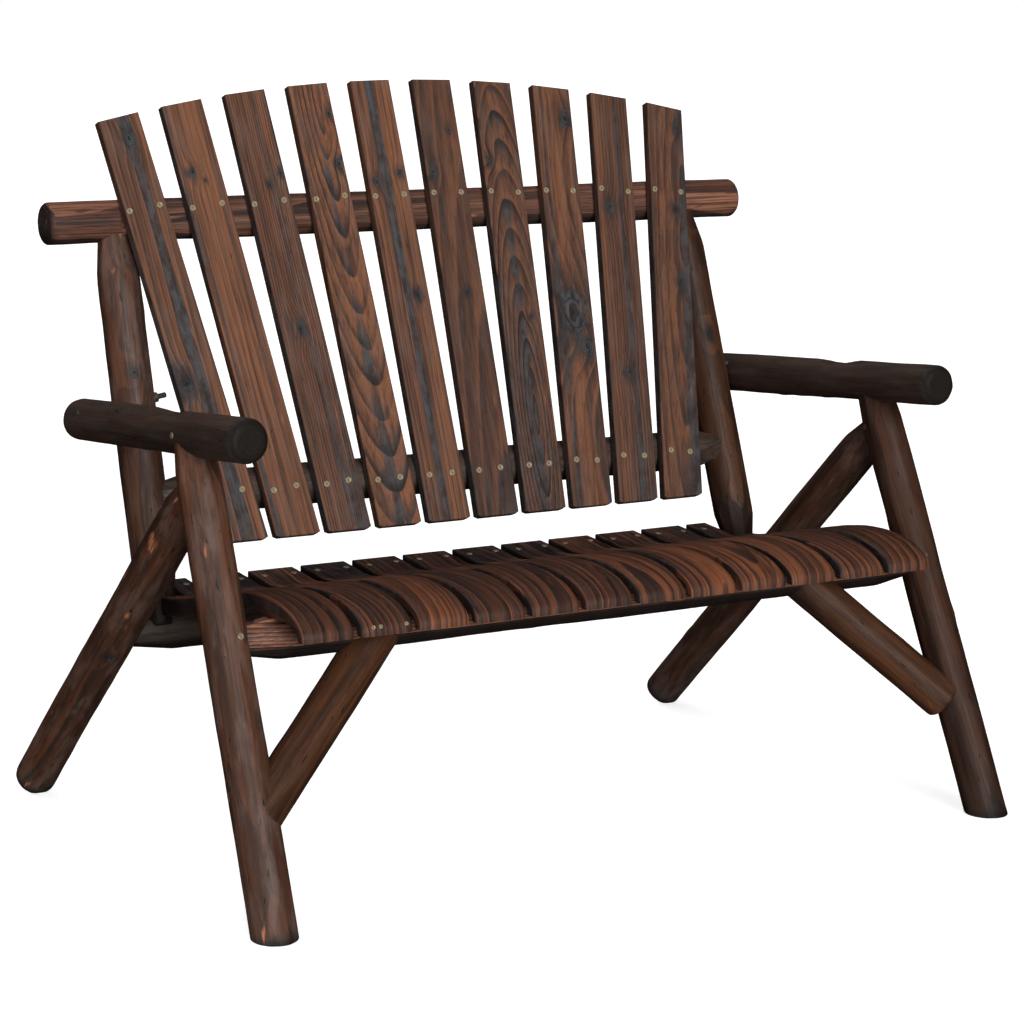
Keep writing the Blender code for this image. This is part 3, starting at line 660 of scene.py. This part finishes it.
def log_points(log, tips, on_floor, seed, dome):
    """Rings of points from the start's centre, along the log, to the end's centre."""
    skin = LogSkin(log, tips, seed)
    if dome:
        skin.edges = [dome, dome]
    if on_floor:
        skin.edges[0] = SOLE_EDGE
    first, last = skin.edges
    rounding = (0.0, 0.05, 0.15, 0.32, 0.55, 0.80)
    middle = np.linspace(first * 1.1, log.length - last * 1.1, int(log.length / LOG_STEP))
    stations = [first * share for share in rounding] + list(middle)
    stations += [log.length - last * share for share in reversed(rounding)]
    angles = [tau * index / LOG_SEGMENTS for index in range(LOG_SEGMENTS)]
    rings = []
    for distance in stations:
        ring = []
        for angle in angles:
            radius = skin.radius(distance, angle)
            at = distance
            if on_floor:
                side = (log.right * cos(angle) + log.up * sin(angle)).z * radius
                floor = -(log.start.z + side) / log.along.z
                at = floor + distance * (1.0 - floor / log.length)
            ring.append(skin.place(at, angle, radius))
        rings.append(ring)
    for at_start in (True, False):
        ring = rings[0] if at_start else rings[-1]
        marks = 0.0 if on_floor and at_start else SAW_MARKS
        centre = sum(ring, Vector()) / len(ring)
        inner = [[centre + (point - centre) * share + log.along * (noise.noise(point * 160.0) * marks)
                  for point in ring] for share in (0.86, 0.62, 0.34)]
        rings = inner[::-1] + rings if at_start else rings + inner
    return rings


def log_piece(name, material, towards, tips, traits, seed, knots=(), shape=None, dome=0.0,
              on_floor=False, under=0.0, dark_ends=0.5, burnt_start=0.0, trim=0.0,
              figure=(1.0, 1.0, 1.0), shade=0.0, pith=None):
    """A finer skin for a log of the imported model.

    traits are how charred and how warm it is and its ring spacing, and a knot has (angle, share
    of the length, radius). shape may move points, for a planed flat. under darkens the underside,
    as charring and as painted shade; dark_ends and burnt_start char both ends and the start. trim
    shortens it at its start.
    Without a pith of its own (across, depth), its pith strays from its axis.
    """
    log = Log(name, towards)
    log.start += log.along * trim
    log.length -= trim
    rings = log_points(log, tips, on_floor, seed, dome)
    centres = [sum(ring, Vector()) / len(ring) for ring in (rings[0], rings[-1])]
    places = [point for ring in rings for point in ring] + centres
    if shape:
        places = [shape(point) for point in places]
    for point in places:
        point.z = max(point.z, 0.0)
    faces, n = [], LOG_SEGMENTS
    for row in range(len(rings) - 1):
        for column in range(n):
            a, b = row * n + column, row * n + (column + 1) % n
            faces.append((a, b, b + n, a + n))
    first, last = len(places) - 2, len(places) - 1
    start_of_last = (len(rings) - 1) * n
    for column in range(n):
        after = (column + 1) % n
        faces += [(first, after, column), (last, start_of_last + column, start_of_last + after)]
    mesh = smooth_mesh(name + "_log", places, faces)
    local = np.array([log.at(point) for point in places])
    lean = (0.0, 0.0)
    if not pith:
        draw = Random(seed + 100)
        lean = draw.uniform(-PITH_LEAN, PITH_LEAN), draw.uniform(-PITH_LEAN, PITH_LEAN)
        pith = draw.uniform(-PITH_OFFSET, PITH_OFFSET), draw.uniform(-PITH_OFFSET, PITH_OFFSET)
    wood = local.copy()
    wood[:, :2] += np.array(pith) + np.outer(local[:, 2], lean)
    wood[:, 2] += seed * 1.37
    near_end = np.minimum(np.abs(local[:, 2]), np.abs(log.length - local[:, 2]))
    char = dark_ends * np.exp(-near_end / END_CHAR_FADE)
    char += burnt_start * np.exp(-np.maximum(local[:, 2], 0.0) / START_CHAR_FADE)
    height = np.array([point.z for point in places])
    char += FOOT_CHAR * np.exp(-height / FOOT_CHAR_HEIGHT)
    axis_height = log.start.z + local[:, 2] * log.along.z
    # painted shade: below its axis the log darkens towards its underside, partly as charring
    char += under * np.clip((axis_height - height) / log.radius, 0.0, 1.0) ** 1.5
    log_knots = [(log.radius * cos(angle), log.radius * sin(angle), at * log.length, size)
                 for angle, at, size in knots]
    grow_wood(mesh, local, wood, traits, log_knots, char, figure, shade)
    new_piece(name + "_wood", mesh, material, name)


def flat_at(plane_point, normal, low_x, high_x):
    """Moves points back to a planed flat between two places along the bench."""
    def shape(point):
        proud = (point - plane_point).dot(normal)
        if proud > 0 and low_x < point.x < high_x:
            return point - normal * proud
        return point
    return shape


def arm_dip(name):
    """The shallow scoop across an armrest's top."""
    log = Log(name, FRONT)
    share = (ARM_DIP_Y - log.start.y) / (log.along.y * log.length)
    middle = log.point(share * log.length)
    centre_z = middle.z + log.radius - ARM_DIP_DEPTH + ARM_DIP_R

    def shape(point):
        from_middle = point.y - middle.y
        if abs(from_middle) < ARM_DIP_R / 2:
            limit = centre_z - (ARM_DIP_R ** 2 - from_middle ** 2) ** 0.5
            point.z = min(point.z, limit)
        return point
    return shape


# ---------------- boards
# Each back slat, from left to right: where the pith lies (across, behind the face, and its lean
# across and backwards per metre), the ring spacing, and how charred and how warm it is. figure is
# how strongly the late wood, the fine lines and the waviness show, and shade how far the slat is
# darkened. warm_band is an orange stripe and band a charred one (across, half width, strength).
# knots have (across, height above the bottom, radius).
BACK_WOOD = (
    dict(pith=(0.060, 0.030, 0.02, 0.02), spacing=0.0100, char=0.03, warm=0.05,
         figure=(0.65, 0.60, 0.7), shade=0.00, warm_band=(0.026, 0.006, 0.45),
         band=(0.006, 0.010, 1.00), knots=((0.006, 0.600, 0.0085), (-0.018, 0.240, 0.0100))),
    dict(pith=(0.110, 0.050, 0.00, 0.02), spacing=0.0085, char=-0.12, warm=0.22,
         figure=(0.40, 0.50, 0.8), shade=0.00, warm_band=(0.000, 0.012, 0.10),
         band=(-0.026, 0.006, 0.50), knots=((-0.012, 0.546, 0.0060), (0.004, 0.532, 0.0028))),
    dict(pith=(0.110, 0.030, 0.00, 0.01), spacing=0.0040, char=-0.02, warm=0.06,
         figure=(0.70, 0.85, 0.6), shade=0.00, warm_band=(0.018, 0.010, 0.30),
         band=(0.010, 0.008, 0.35), knots=((-0.002, 0.304, 0.0075), (0.002, 0.520, 0.0035),
                                         (0.026, 0.535, 0.0040))),
    dict(pith=(0.006, 0.058, 0.01, -0.140), spacing=0.0076, char=-0.02, warm=0.15,
         figure=(1.20, 0.50, 0.22), shade=0.00, warm_band=(0.022, 0.012, 0.35),
         band=(0.003, 0.0085, 0.50), knots=((0.024, 0.622, 0.0048), (0.024, 0.545, 0.0062))),
    dict(pith=(-0.070, 0.040, 0.01, 0.02), spacing=0.0075, char=0.02, warm=0.14,
         figure=(0.65, 0.75, 0.7), shade=0.04, warm_band=(0.019, 0.011, 0.50),
         band=(-0.003, 0.0065, 0.95), knots=((-0.020, 0.515, 0.0065), (0.021, 0.527, 0.0055),
                                           (0.014, 0.340, 0.0060))),
    dict(pith=(0.030, 0.060, 0.02, 0.06), spacing=0.0140, char=0.00, warm=-0.02,
         figure=(0.58, 0.58, 0.6), shade=0.30, warm_band=(0.020, 0.008, 0.15),
         band=(-0.016, 0.005, 0.40), knots=((-0.022, 0.528, 0.0060), (0.016, 0.592, 0.0042),
                                          (0.006, 0.340, 0.0048))),
    dict(pith=(0.002, 0.010, -0.01, 0.130), spacing=0.0056, char=0.06, warm=0.04,
         figure=(1.45, 0.50, 0.30), shade=0.20, warm_band=(-0.004, 0.006, 0.25),
         band=(-0.002, 0.0100, 0.45), knots=((-0.022, 0.545, 0.0050), (0.016, 0.300, 0.0035))),
    dict(pith=(0.050, 0.040, 0.03, -0.070), spacing=0.0150, char=-0.04, warm=0.06,
         figure=(0.80, 0.50, 0.5), shade=0.13, warm_band=(-0.004, 0.011, 0.62),
         band=(-0.024, 0.006, 0.55), knots=((-0.001, 0.303, 0.0290), (0.018, 0.250, 0.0130),
                                          (0.020, 0.612, 0.0120))),
    dict(pith=(-0.090, 0.030, 0.00, 0.02), spacing=0.0052, char=0.00, warm=0.04,
         figure=(0.75, 0.80, 0.6), shade=0.22, warm_band=(-0.028, 0.006, 0.30),
         band=(0.008, 0.005, 0.85), knots=((-0.012, 0.468, 0.0080), (0.000, 0.205, 0.0066))),
    dict(pith=(0.020, 0.024, 0.02, -0.110), spacing=0.0125, char=0.05, warm=0.07,
         figure=(0.80, 0.50, 0.5), shade=0.27, warm_band=(-0.012, 0.010, 0.38),
         band=(0.026, 0.010, 0.80), knots=((0.012, 0.466, 0.0070), (0.014, 0.350, 0.0072),
                                         (0.018, 0.600, 0.0060))),
)


def rounded_plate(name, corners, normal, thickness, edge):
    """A board with its outline's face at the front, rounded along all its edges.

    Returns its mesh, its points and how deep each of them lies behind the front.
    """
    count = len(corners)
    inward = []
    for index in range(count):
        a = (corners[index] - corners[index - 1]).normalized()
        b = (corners[(index + 1) % count] - corners[index]).normalized()
        left, right = normal.cross(a), normal.cross(b)
        miter = left + right
        inward.append(miter / max(0.35, 1.0 + left.dot(right)))
    rounding = [(edge * (1 - sin(turn)), edge * (1 - cos(turn)))
                for turn in (pi / 2 * share for share in (0.0, 0.2, 0.45, 0.72, 1.0))]
    levels = rounding + [(inset, thickness - down) for inset, down in reversed(rounding)]
    places = []
    for inset, down in levels:
        for corner, move in zip(corners, inward):
            point = corner + move * inset - normal * down
            places.append(point + move * BOARD_RIPPLE * noise.noise(point * 70.0))
    faces = [tuple(range(count)), tuple(reversed(range(len(places) - count, len(places))))]
    for level in range(len(levels) - 1):
        for index in range(count):
            a, b = level * count + index, level * count + (index + 1) % count
            faces.append((a, a + count, b + count, b))
    mesh = smooth_mesh(name, places, faces)
    depths = np.repeat([down for _, down in levels], count)
    return mesh, np.array([tuple(place) for place in places]), depths


def keep_flat_faces(piece):
    weights = piece.modifiers.new("flat_faces", "WEIGHTED_NORMAL")
    weights.mode = "FACE_AREA"
    weights.keep_sharp = True


def board_space(along, normal, origin, points):
    """(across, depth, along) of points, with the board's front face at depth 0."""
    across = along.cross(normal)
    axes = np.array([tuple(across), tuple(normal), tuple(along)])
    return (points - np.array(origin)) @ axes.T


def in_the_tree(local, pith, seed):
    """Wood space of a board: (across, depth, along) measured from the leaning pith."""
    across, behind, lean_across, lean_back = pith
    middle = local[:, 2] - local[:, 2].mean()
    wood = local.copy()
    wood[:, 0] -= across + lean_across * middle
    wood[:, 1] += behind + lean_back * middle
    wood[:, 2] += seed * 2.31
    return wood


def back_slat(index, material):
    """A board of the back. Returns its foot's place, its direction and its front normal."""
    name = f"back_slat_{index + 1:02d}"
    corners, normal = flat_outline(name, FRONT)
    lowest = sorted(corners, key=lambda corner: corner.z)
    bottom = sum(lowest[:4], Vector()) / 4
    top = sum(lowest[4:], Vector()) / 2
    along = (top - bottom).normalized()
    bottom += along * (min((corner - bottom).dot(along) for corner in corners))
    depth = thickness_along(name, normal)
    mesh, points, depths = rounded_plate(name + "_board", corners, normal, depth, BOARD_EDGE)
    local = board_space(along, normal, bottom, points)
    look = BACK_WOOD[index]
    knots = [(across, 0.0, height, size) for across, height, size in look["knots"]]
    # the board's sides are darkened: charring, and painted shade between the slats
    side = np.clip(np.minimum(depths, depth - depths) / BOARD_EDGE - 0.4, 0.0, 1.0)
    char = side * SLAT_SIDE_CHAR_AND_SHADE + SLAT_FOOT_CHAR * np.exp(-local[:, 2] / SLAT_FOOT_FADE)
    grow_wood(mesh, local, in_the_tree(local, look["pith"], index + 1),
              (look["char"], look["warm"], look["spacing"]), knots, char,
              look["figure"], look["shade"], look["band"], look["warm_band"])
    keep_flat_faces(new_piece(name + "_wood", mesh, material, name))
    return bottom, along, normal


def resampled(corners):
    """An outline with its curves made finer, and its sharp corners kept."""
    count = len(corners)
    result = []
    for index in range(count):
        before, a = corners[index - 1], corners[index]
        b, after = corners[(index + 1) % count], corners[(index + 2) % count]
        step = b - a
        starts = step if (a - before).angle(step) > SMOOTH_TURN else (
            (b - before) * step.length / (step.length + (a - before).length))
        ends = step if step.angle(after - b) > SMOOTH_TURN else (
            (after - a) * step.length / (step.length + (after - b).length))
        pieces = max(1, round(step.length / OUTLINE_STEP))
        for part in range(pieces):
            t = part / pieces
            result.append(a * (2 * t ** 3 - 3 * t ** 2 + 1) + starts * (t ** 3 - 2 * t ** 2 + t)
                          + b * (3 * t ** 2 - 2 * t ** 3) + ends * (t ** 3 - t ** 2))
    return result


def along_the_curve(outline, middle, points):
    """(across, depth, along) of a seat slat's points, with along following its curved top."""
    line = np.array([tuple(corner) for corner in outline])
    top = np.array([height_on(outline, y)[0] for y in line[:, 1]])
    upper = line[line[:, 2] > top - 0.004]
    upper = upper[np.argsort(-upper[:, 1])]
    steps = np.linalg.norm(np.diff(upper[:, 1:], axis=0), axis=1)
    travelled = np.concatenate([[0.0], np.cumsum(steps)])
    nearest = [int(np.argmin(((upper[:, 1:] - point[1:]) ** 2).sum(axis=1))) for point in points]
    away = np.linalg.norm(upper[nearest][:, 1:] - points[:, 1:], axis=1)
    smooth = np.interp(-points[:, 1], -upper[:, 1], travelled)
    return np.column_stack([points[:, 0] - middle, -away, smooth])


def notched(mesh, notch_x, notch_y, side):
    """The board's mesh with the corner for a post cut out of its rear end."""
    reach = NOTCH_REACH
    centre = Vector((notch_x + side * reach / 2, notch_y + reach / 2, NOTCH_HEIGHT))
    cutter_mesh = bpy.data.meshes.new("notch")
    form = bmesh.new()
    bmesh.ops.create_cube(form, size=1.0,
                          matrix=Matrix.Translation(centre) @ Matrix.Diagonal((reach, reach, reach, 1)))
    form.to_mesh(cutter_mesh)
    form.free()
    result = carved(mesh, [cutter_mesh], SHARP_WOOD)
    return result, np.array([tuple(vertex.co) for vertex in result.vertices])


def seat_slat(index, material):
    """A contoured board of the seat. Returns its middle along the bench and its outline."""
    name = f"seat_slat_{index + 1:02d}"
    notched_end = NOTCHED_ENDS.get(index)
    corners, normal = flat_outline(name, RIGHT * (notched_end or 1.0))
    low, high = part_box(name)
    outline = resampled(corners)
    mesh, points, _ = rounded_plate(name + "_board", outline, normal, high.x - low.x, SEAT_EDGE)
    if notched_end:
        other, _ = flat_outline(name, RIGHT * -notched_end)
        notch_y = max(corner.y for corner in other)
        notch_x = seat_notch_x(name, notch_y)
        mesh, points = notched(mesh, notch_x, notch_y, -notched_end)
    draw = Random(index + 40)
    middle = (low.x + high.x) / 2
    local = along_the_curve(outline, middle, points)
    pith = (draw.choice((-1, 1)) * draw.uniform(0.012, 0.060), draw.uniform(0.014, 0.034),
            draw.uniform(-0.10, 0.10), draw.uniform(-0.06, 0.06))
    rear = np.clip((points[:, 1] - SEAT_DARK_Y) / SEAT_DARK_FADE, 0.0, 1.0)
    half = (high.x - low.x) / 2
    # the slat's sides are darkened: charring, and painted shade between the slats
    side = np.clip((np.abs(local[:, 0]) - half) / SEAT_EDGE + 1.0, 0.0, 1.0)
    traits = (draw.uniform(-0.10, 0.10), draw.uniform(-0.10, 0.26), draw.uniform(0.0055, 0.0135))
    knots = [(draw.uniform(-0.02, 0.02), draw.uniform(0.05, 0.09), draw.uniform(0.15, 0.45),
              draw.uniform(0.003, 0.006))]
    char = rear * draw.uniform(0.22, 0.55) + side * SEAT_SIDE_CHAR_AND_SHADE
    grow_wood(mesh, local, in_the_tree(local, pith, index + 20), traits, knots, char, SEAT_FIGURE)
    new_piece(name + "_wood", mesh, material, name)
    return middle, outline


# ---------------- fasteners
def spun(profile, segments=28):
    """A turned form around Z, from (radius, height) pairs that start and end on the axis."""
    form = bmesh.new()
    rings = []
    for radius, height in profile:
        count = 1 if radius == 0 else segments
        rings.append([form.verts.new((radius * cos(tau * i / count), radius * sin(tau * i / count),
                                      height)) for i in range(count)])
    for lower, upper in zip(rings, rings[1:]):
        for i in range(segments):
            a, b = lower[i % len(lower)], lower[(i + 1) % len(lower)]
            c, d = upper[(i + 1) % len(upper)], upper[i % len(upper)]
            form.faces.new([v for v in dict.fromkeys((a, b, c, d))])
    bmesh.ops.recalc_face_normals(form, faces=form.faces)
    return form


def screw_head_mesh(radius):
    """A countersunk head with a raised rim and a cross recess, on a short piece of its shank."""
    top = radius * 0.16
    profile = [(0.0, top * 0.55), (radius * 0.30, top * 0.62), (radius * 0.62, top * 0.95),
               (radius * 0.84, top), (radius * 0.97, top * 0.55), (radius, 0.0),
               (radius * 0.96, -radius * 0.12), (radius * 0.46, -radius * 0.62),
               (radius * 0.40, -radius * 1.9), (0.0, -radius * 2.1)]
    blades = []
    for turn in (0.0, pi / 2):
        form = bmesh.new()
        bmesh.ops.create_cone(form, cap_ends=True, segments=4, radius1=radius * 0.20,
                              radius2=radius * 0.62, depth=radius * 1.1)
        stretch = Matrix.Rotation(turn, 4, "Z") @ Matrix.Diagonal((1.0, 0.28, 1.0, 1.0))
        lift = Matrix.Translation((0, 0, radius * 0.12))
        form.transform(lift @ stretch @ Matrix.Rotation(pi / 4, 4, "Z"))
        blades.append(finished(form, "blade"))
    return carved(finished(spun(profile), "screw_head"), blades, SHARP_METAL)


def add_screw(name, mesh, place, outwards, turn):
    """A screw head that lies flush at a place, turned to any angle as a driver leaves it."""
    screw = in_scene(name, mesh)
    aim = outwards.to_track_quat("Z", "Y").to_matrix().to_4x4()
    screw.matrix_world = Matrix.Translation(place) @ aim @ Matrix.Rotation(turn, 4, "Z")
    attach(screw, "root")


def place_turned(name, form, start, axis):
    """A turned form's mesh, with its origin moved to start and its Z along the axis."""
    turn = axis.to_track_quat("Z", "Y").to_matrix().to_4x4()
    form.transform(Matrix.Translation(start) @ turn)
    return finished(form, name)


def make_screw(name):
    """A whole screw of the frame: a countersunk cross head on its shank."""
    pin = Pin(name)
    form = bmesh.new()
    form.from_mesh(screw_head_mesh(pin.radius))
    tip = pin.radius - pin.length
    shank = spun([(0.0, tip), (pin.shank, tip + SCREW_POINT), (pin.shank, 0.0), (0.0, 0.0)], 16)
    form.from_mesh(finished(shank, "shank"))
    material = dull_brass if name.endswith("_r") else brass
    turned = place_turned(name + "_cross_head", form, pin.start, -pin.axis)
    new_piece(name + "_cross_head", turned, material, name)


def thread_profile(pin):
    """A bolt from its tip up to its domed head, with grooves where its thread is."""
    profile = [(0.0, 0.0)]
    for share in (0.25, 0.5, 0.72, 0.88, 0.97):
        profile.append((pin.radius * share, -BOLT_HEAD * 0.7 * (1 - (1 - share ** 2) ** 0.5)))
    profile += [(pin.radius, -BOLT_HEAD * 0.75), (pin.radius * 0.97, -BOLT_HEAD),
                (pin.shank, -BOLT_HEAD)]
    at = pin.length * THREAD_FROM
    while at < pin.length - THREAD_PITCH:
        profile += [(pin.shank, -at), (pin.shank - THREAD_DEPTH, -at - THREAD_PITCH / 2)]
        at += THREAD_PITCH
    profile += [(pin.shank, -at), (pin.shank * 0.75, -pin.length), (0.0, -pin.length)]
    return profile[::-1]


def hollow_prism(radius, hole, height, sides, chamfer):
    """A washer, or a nut if it has 6 sides, around Z and centred. Its outer edges are chamfered."""
    flat = radius * cos(pi / sides)

    def side(angle):
        return flat / cos(angle % (tau / sides) - pi / sides) if sides == 6 else radius

    def top(angle):
        return min(side(angle), flat + chamfer * 0.3) if sides == 6 else radius - chamfer * 1.6

    angles = [tau * step / HOLE_STEPS for step in range(HOLE_STEPS)]
    form = bmesh.new()
    rings = []
    for reach, z in ((top, height / 2), (side, height / 2 - chamfer), (side, chamfer - height / 2),
                     (top, -height / 2), (None, -height / 2), (None, height / 2)):
        reaches = [reach(angle) if reach else hole for angle in angles]
        rings.append([form.verts.new((reach * cos(angle), reach * sin(angle), z))
                      for reach, angle in zip(reaches, angles)])
    for low, high in zip(rings, rings[1:] + rings[:1]):
        for i in range(HOLE_STEPS):
            j = (i + 1) % HOLE_STEPS
            form.faces.new((low[i], low[j], high[j], high[i]))
    bmesh.ops.recalc_face_normals(form, faces=form.faces)
    return form


def make_bolt(tag):
    """The coach bolt that holds an armrest on its post, with a washer and a nut."""
    bolt = Pin("arm_bolt" + tag)
    mesh = place_turned("bolt" + tag, spun(thread_profile(bolt)), bolt.start, -bolt.axis)
    new_piece("threaded_bolt" + tag, mesh, steel, "arm_bolt" + tag)

    for part, sides, chamfer in (("arm_washer", 40, 0.0003), ("arm_nut", 6, 0.0007)):
        pin = Pin(part + tag)
        form = hollow_prism(pin.radius, bolt.shank + HOLE_SLACK,
                            thickness_along(part + tag, bolt.axis), sides, chamfer)
        middle = sum(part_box(part + tag), Vector()) / 2
        mesh = place_turned(part + tag, form, middle, bolt.axis)
        new_piece(part + tag + "_chamfered", mesh, steel, part + tag)


# ---------------- building the bench
def make_logs():
    _, front = flat_outline("back_slat_05", FRONT)
    rail_z = sum(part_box("top_rail"), Vector()).z / 2
    first = edge_x("back_slat_01", rail_z, min) - FLAT_MARGIN
    last = edge_x("back_slat_10", rail_z, max) + FLAT_MARGIN
    back_face = flat_outline("back_slat_05", -FRONT)[0][0] - front * BACK_FLAT_GAP
    log_piece("top_rail", rail_wood, RIGHT, {}, (0.0, 0.0, 0.0085), seed=1,
              shape=flat_at(back_face, front, first, last), under=0.5,
              knots=((1.3, 0.30, 0.006), (2.6, 0.71, 0.005), (4.4, 0.52, 0.006)))
    log_piece("lower_back_rail", arm_wood, RIGHT, RAIL_TIPS, (0.14, -0.05, 0.006),
              seed=2, shape=flat_at(back_face, front, -1.0, 1.0), under=0.5)
    for tag, wood, post_wood, rear_leg_wood, extra, shade in (
            ("_l", log_wood, log_wood, log_wood, 0, 0.20),
            ("_r", right_wood, brace_wood, rear_wood, 10, 0.0)):
        log_piece("back_post" + tag, post_wood, UP, POST_TIPS, (0.04, 0.10, 0.0065),
                  seed=3 + extra, burnt_start=1.1, shade=shade,
                  knots=((2.0, 0.35, 0.006), (4.9, 0.62, 0.007)))
        log_piece("front_leg" + tag, wood, UP, FRONT_TIPS, (-0.05, 0.12, 0.0060),
                  seed=4 + extra, on_floor=True, shade=shade * 0.4,
                  knots=((4.0, 0.42, 0.005), (1.0, 0.7, 0.006)))
        log_piece("rear_leg" + tag, rear_leg_wood, UP, REAR_TIPS, (0.0, 0.08, 0.0060),
                  seed=5 + extra, dark_ends=0.8, shade=0.2 - shade,
                  knots=((5.0, 0.5, 0.006), (2.2, 0.25, 0.006)))
        log_piece("brace" + tag, brace_wood, UP, {}, (-0.05, 0.20, 0.0060),
                  seed=6 + extra, knots=((3.3, 0.5, 0.005),), dark_ends=0.2,
                  trim=BRACE_TRIMS[tag])
        log_piece("armrest" + tag, arm_wood, FRONT, {}, (0.04, 0.0, 0.0060),
                  seed=7 + extra, shape=arm_dip("armrest" + tag), dark_ends=1.0, dome=ARM_DOME,
                  knots=((1.4, 0.66, 0.006), (2.4, 0.2, 0.005)))
    first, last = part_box("seat_slat_01")[0].x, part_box("seat_slat_12")[1].x
    # under is how dark each beam's underside is painted: charring, and painted shade
    for name, wood, seed, warm, under in (("front_beam", rail_wood, 8, 0.10, 2.4),
                                          ("rear_beam", arm_wood, 9, -0.3, 1.8)):
        flat = flat_at(Vector((0, 0, beam_bed(name))), UP, first - FLAT_MARGIN, last + FLAT_MARGIN)
        log_piece(name, wood, RIGHT, BEAM_TIPS, (-0.15, warm, 0.0045), seed=seed,
                  shape=flat, under=under, knots=((3.6, 0.4, 0.005),), figure=(0.9, 0.7, 0.3),
                  pith=(0.02, 0.11))


def make_back():
    head = screw_head_mesh(SCREW_HEAD)
    head.materials.append(brass)
    draw = Random(5)
    axes = {name: sum(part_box(name), Vector()) / 2 for name in ("top_rail", "lower_back_rail")}
    for index in range(BACK_SLATS):
        bottom, along, normal = back_slat(index, slat_wood)
        across = along.cross(normal)
        up = normal.cross(RIGHT).normalized()
        up = up if up.z > 0 else -up
        for tag, rail, space, rise in (
                ("high", "top_rail", BACK_SCREWS_HIGH, TOP_SCREW_RISE[index]),
                ("low", "lower_back_rail", BACK_SCREWS_LOW, LOW_SCREW_RISE)):
            reach = (axes[rail] - bottom).dot(up) / along.dot(up) + rise
            for letter, side in (("a", -1), ("b", 1)):
                place = bottom + along * (reach + draw.uniform(-0.001, 0.001))
                place += across * (side * space + draw.uniform(-0.0012, 0.0012) + BACK_SCREWS_ACROSS)
                add_screw(f"back_screw_{tag}_{index + 1:02d}{letter}", head, place, normal,
                          draw.uniform(0, pi))


def make_seat():
    head = screw_head_mesh(SCREW_HEAD)
    head.materials.append(brass)
    pin = screw_head_mesh(SCREW_HEAD * NOSE_PIN_SHARE)
    pin.materials.append(brass)
    draw = Random(9)
    for index in range(SEAT_SLATS):
        middle, outline = seat_slat(index, seat_wood)
        for side in (NOTCHED_ENDS[index],) if index in NOTCHED_ENDS else (-1, 1):
            y = SEAT_SCREW_Y + draw.uniform(-0.002, 0.002)
            z, normal = height_on(outline, y)
            add_screw(f"seat_screw_{index + 1:02d}{'a' if side < 0 else 'b'}", head,
                      Vector((middle + side * SEAT_SCREWS, y, z)), normal, draw.uniform(0, pi))
        for count, across in enumerate(NOSE_PINS.get(index, ())):
            z, normal = height_on(outline, NOSE_SCREW_Y)
            place = Vector((middle + across, NOSE_SCREW_Y, z))
            add_screw(f"nose_pin_{index + 1:02d}_{count}", pin, place, normal, draw.uniform(0, pi))


def make_fasteners():
    """The fasteners of the frame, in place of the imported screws, bolts, washers and nuts."""
    for name in sorted(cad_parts):
        if "_screw_" in name:
            make_screw(name)
    for tag in ("_l", "_r"):
        make_bolt(tag)


# ---------------- studio
def make_studio():
    floor_mesh = bpy.data.meshes.new("floor")
    form = bmesh.new()
    bmesh.ops.create_grid(form, x_segments=1, y_segments=1, size=FLOOR_SIZE)
    form.to_mesh(floor_mesh)
    form.free()
    floor = in_scene("floor", floor_mesh)
    g = Graph("floor_paint")
    g.shade(Base_Color=(*[STUDIO_GREY] * 3, 1.0), Roughness=0.95, Specular_IOR_Level=0.0,
            Emission_Color=(1.0, 1.0, 1.0, 1.0), Emission_Strength=FLOOR_GLOW)
    floor_mesh.materials.append(g.material)

    floor.visible_diffuse = False
    floor.visible_glossy = False
    floor.visible_shadow = False

    world = bpy.data.worlds.new("studio")
    bpy.context.scene.world = world
    world.use_nodes = True
    background = world.node_tree.nodes["Background"]
    background.inputs["Color"].default_value = (1.0, 1.0, 1.0, 1.0)
    world.cycles_visibility.diffuse = False
    world.cycles_visibility.glossy = False

    for name, (x, y, z), softness, strength in LAMPS:
        light = bpy.data.lights.new(name, "SUN")
        light.energy = strength
        light.angle = softness
        lamp = in_scene(name, light)
        lamp.rotation_euler = Vector((x, y, z)).to_track_quat("Z", "Y").to_euler()
        lamp.visible_glossy = name != "rear"    # it would leave a white sheen on the wood


def make_camera():
    forward = Vector((sin(CAMERA_YAW) * cos(CAMERA_PITCH), cos(CAMERA_YAW) * cos(CAMERA_PITCH),
                      sin(CAMERA_PITCH)))
    right = forward.cross(UP).normalized()
    up = right.cross(forward)
    turn = Matrix((right, up, -forward)).transposed() @ Matrix.Rotation(CAMERA_ROLL, 3, "Z")
    data = bpy.data.cameras.new("camera")
    data.lens = CAMERA_LENS
    data.sensor_width = 36.0
    data.shift_x, data.shift_y = CAMERA_SHIFT
    camera = in_scene("camera", data)
    camera.matrix_world = Matrix.Translation(CAMERA_PLACE) @ turn.to_4x4()
    bpy.context.scene.camera = camera


make_camera()
make_studio()
make_logs()
make_back()
make_seat()
make_fasteners()
bpy.context.scene.view_settings.view_transform = "Standard"
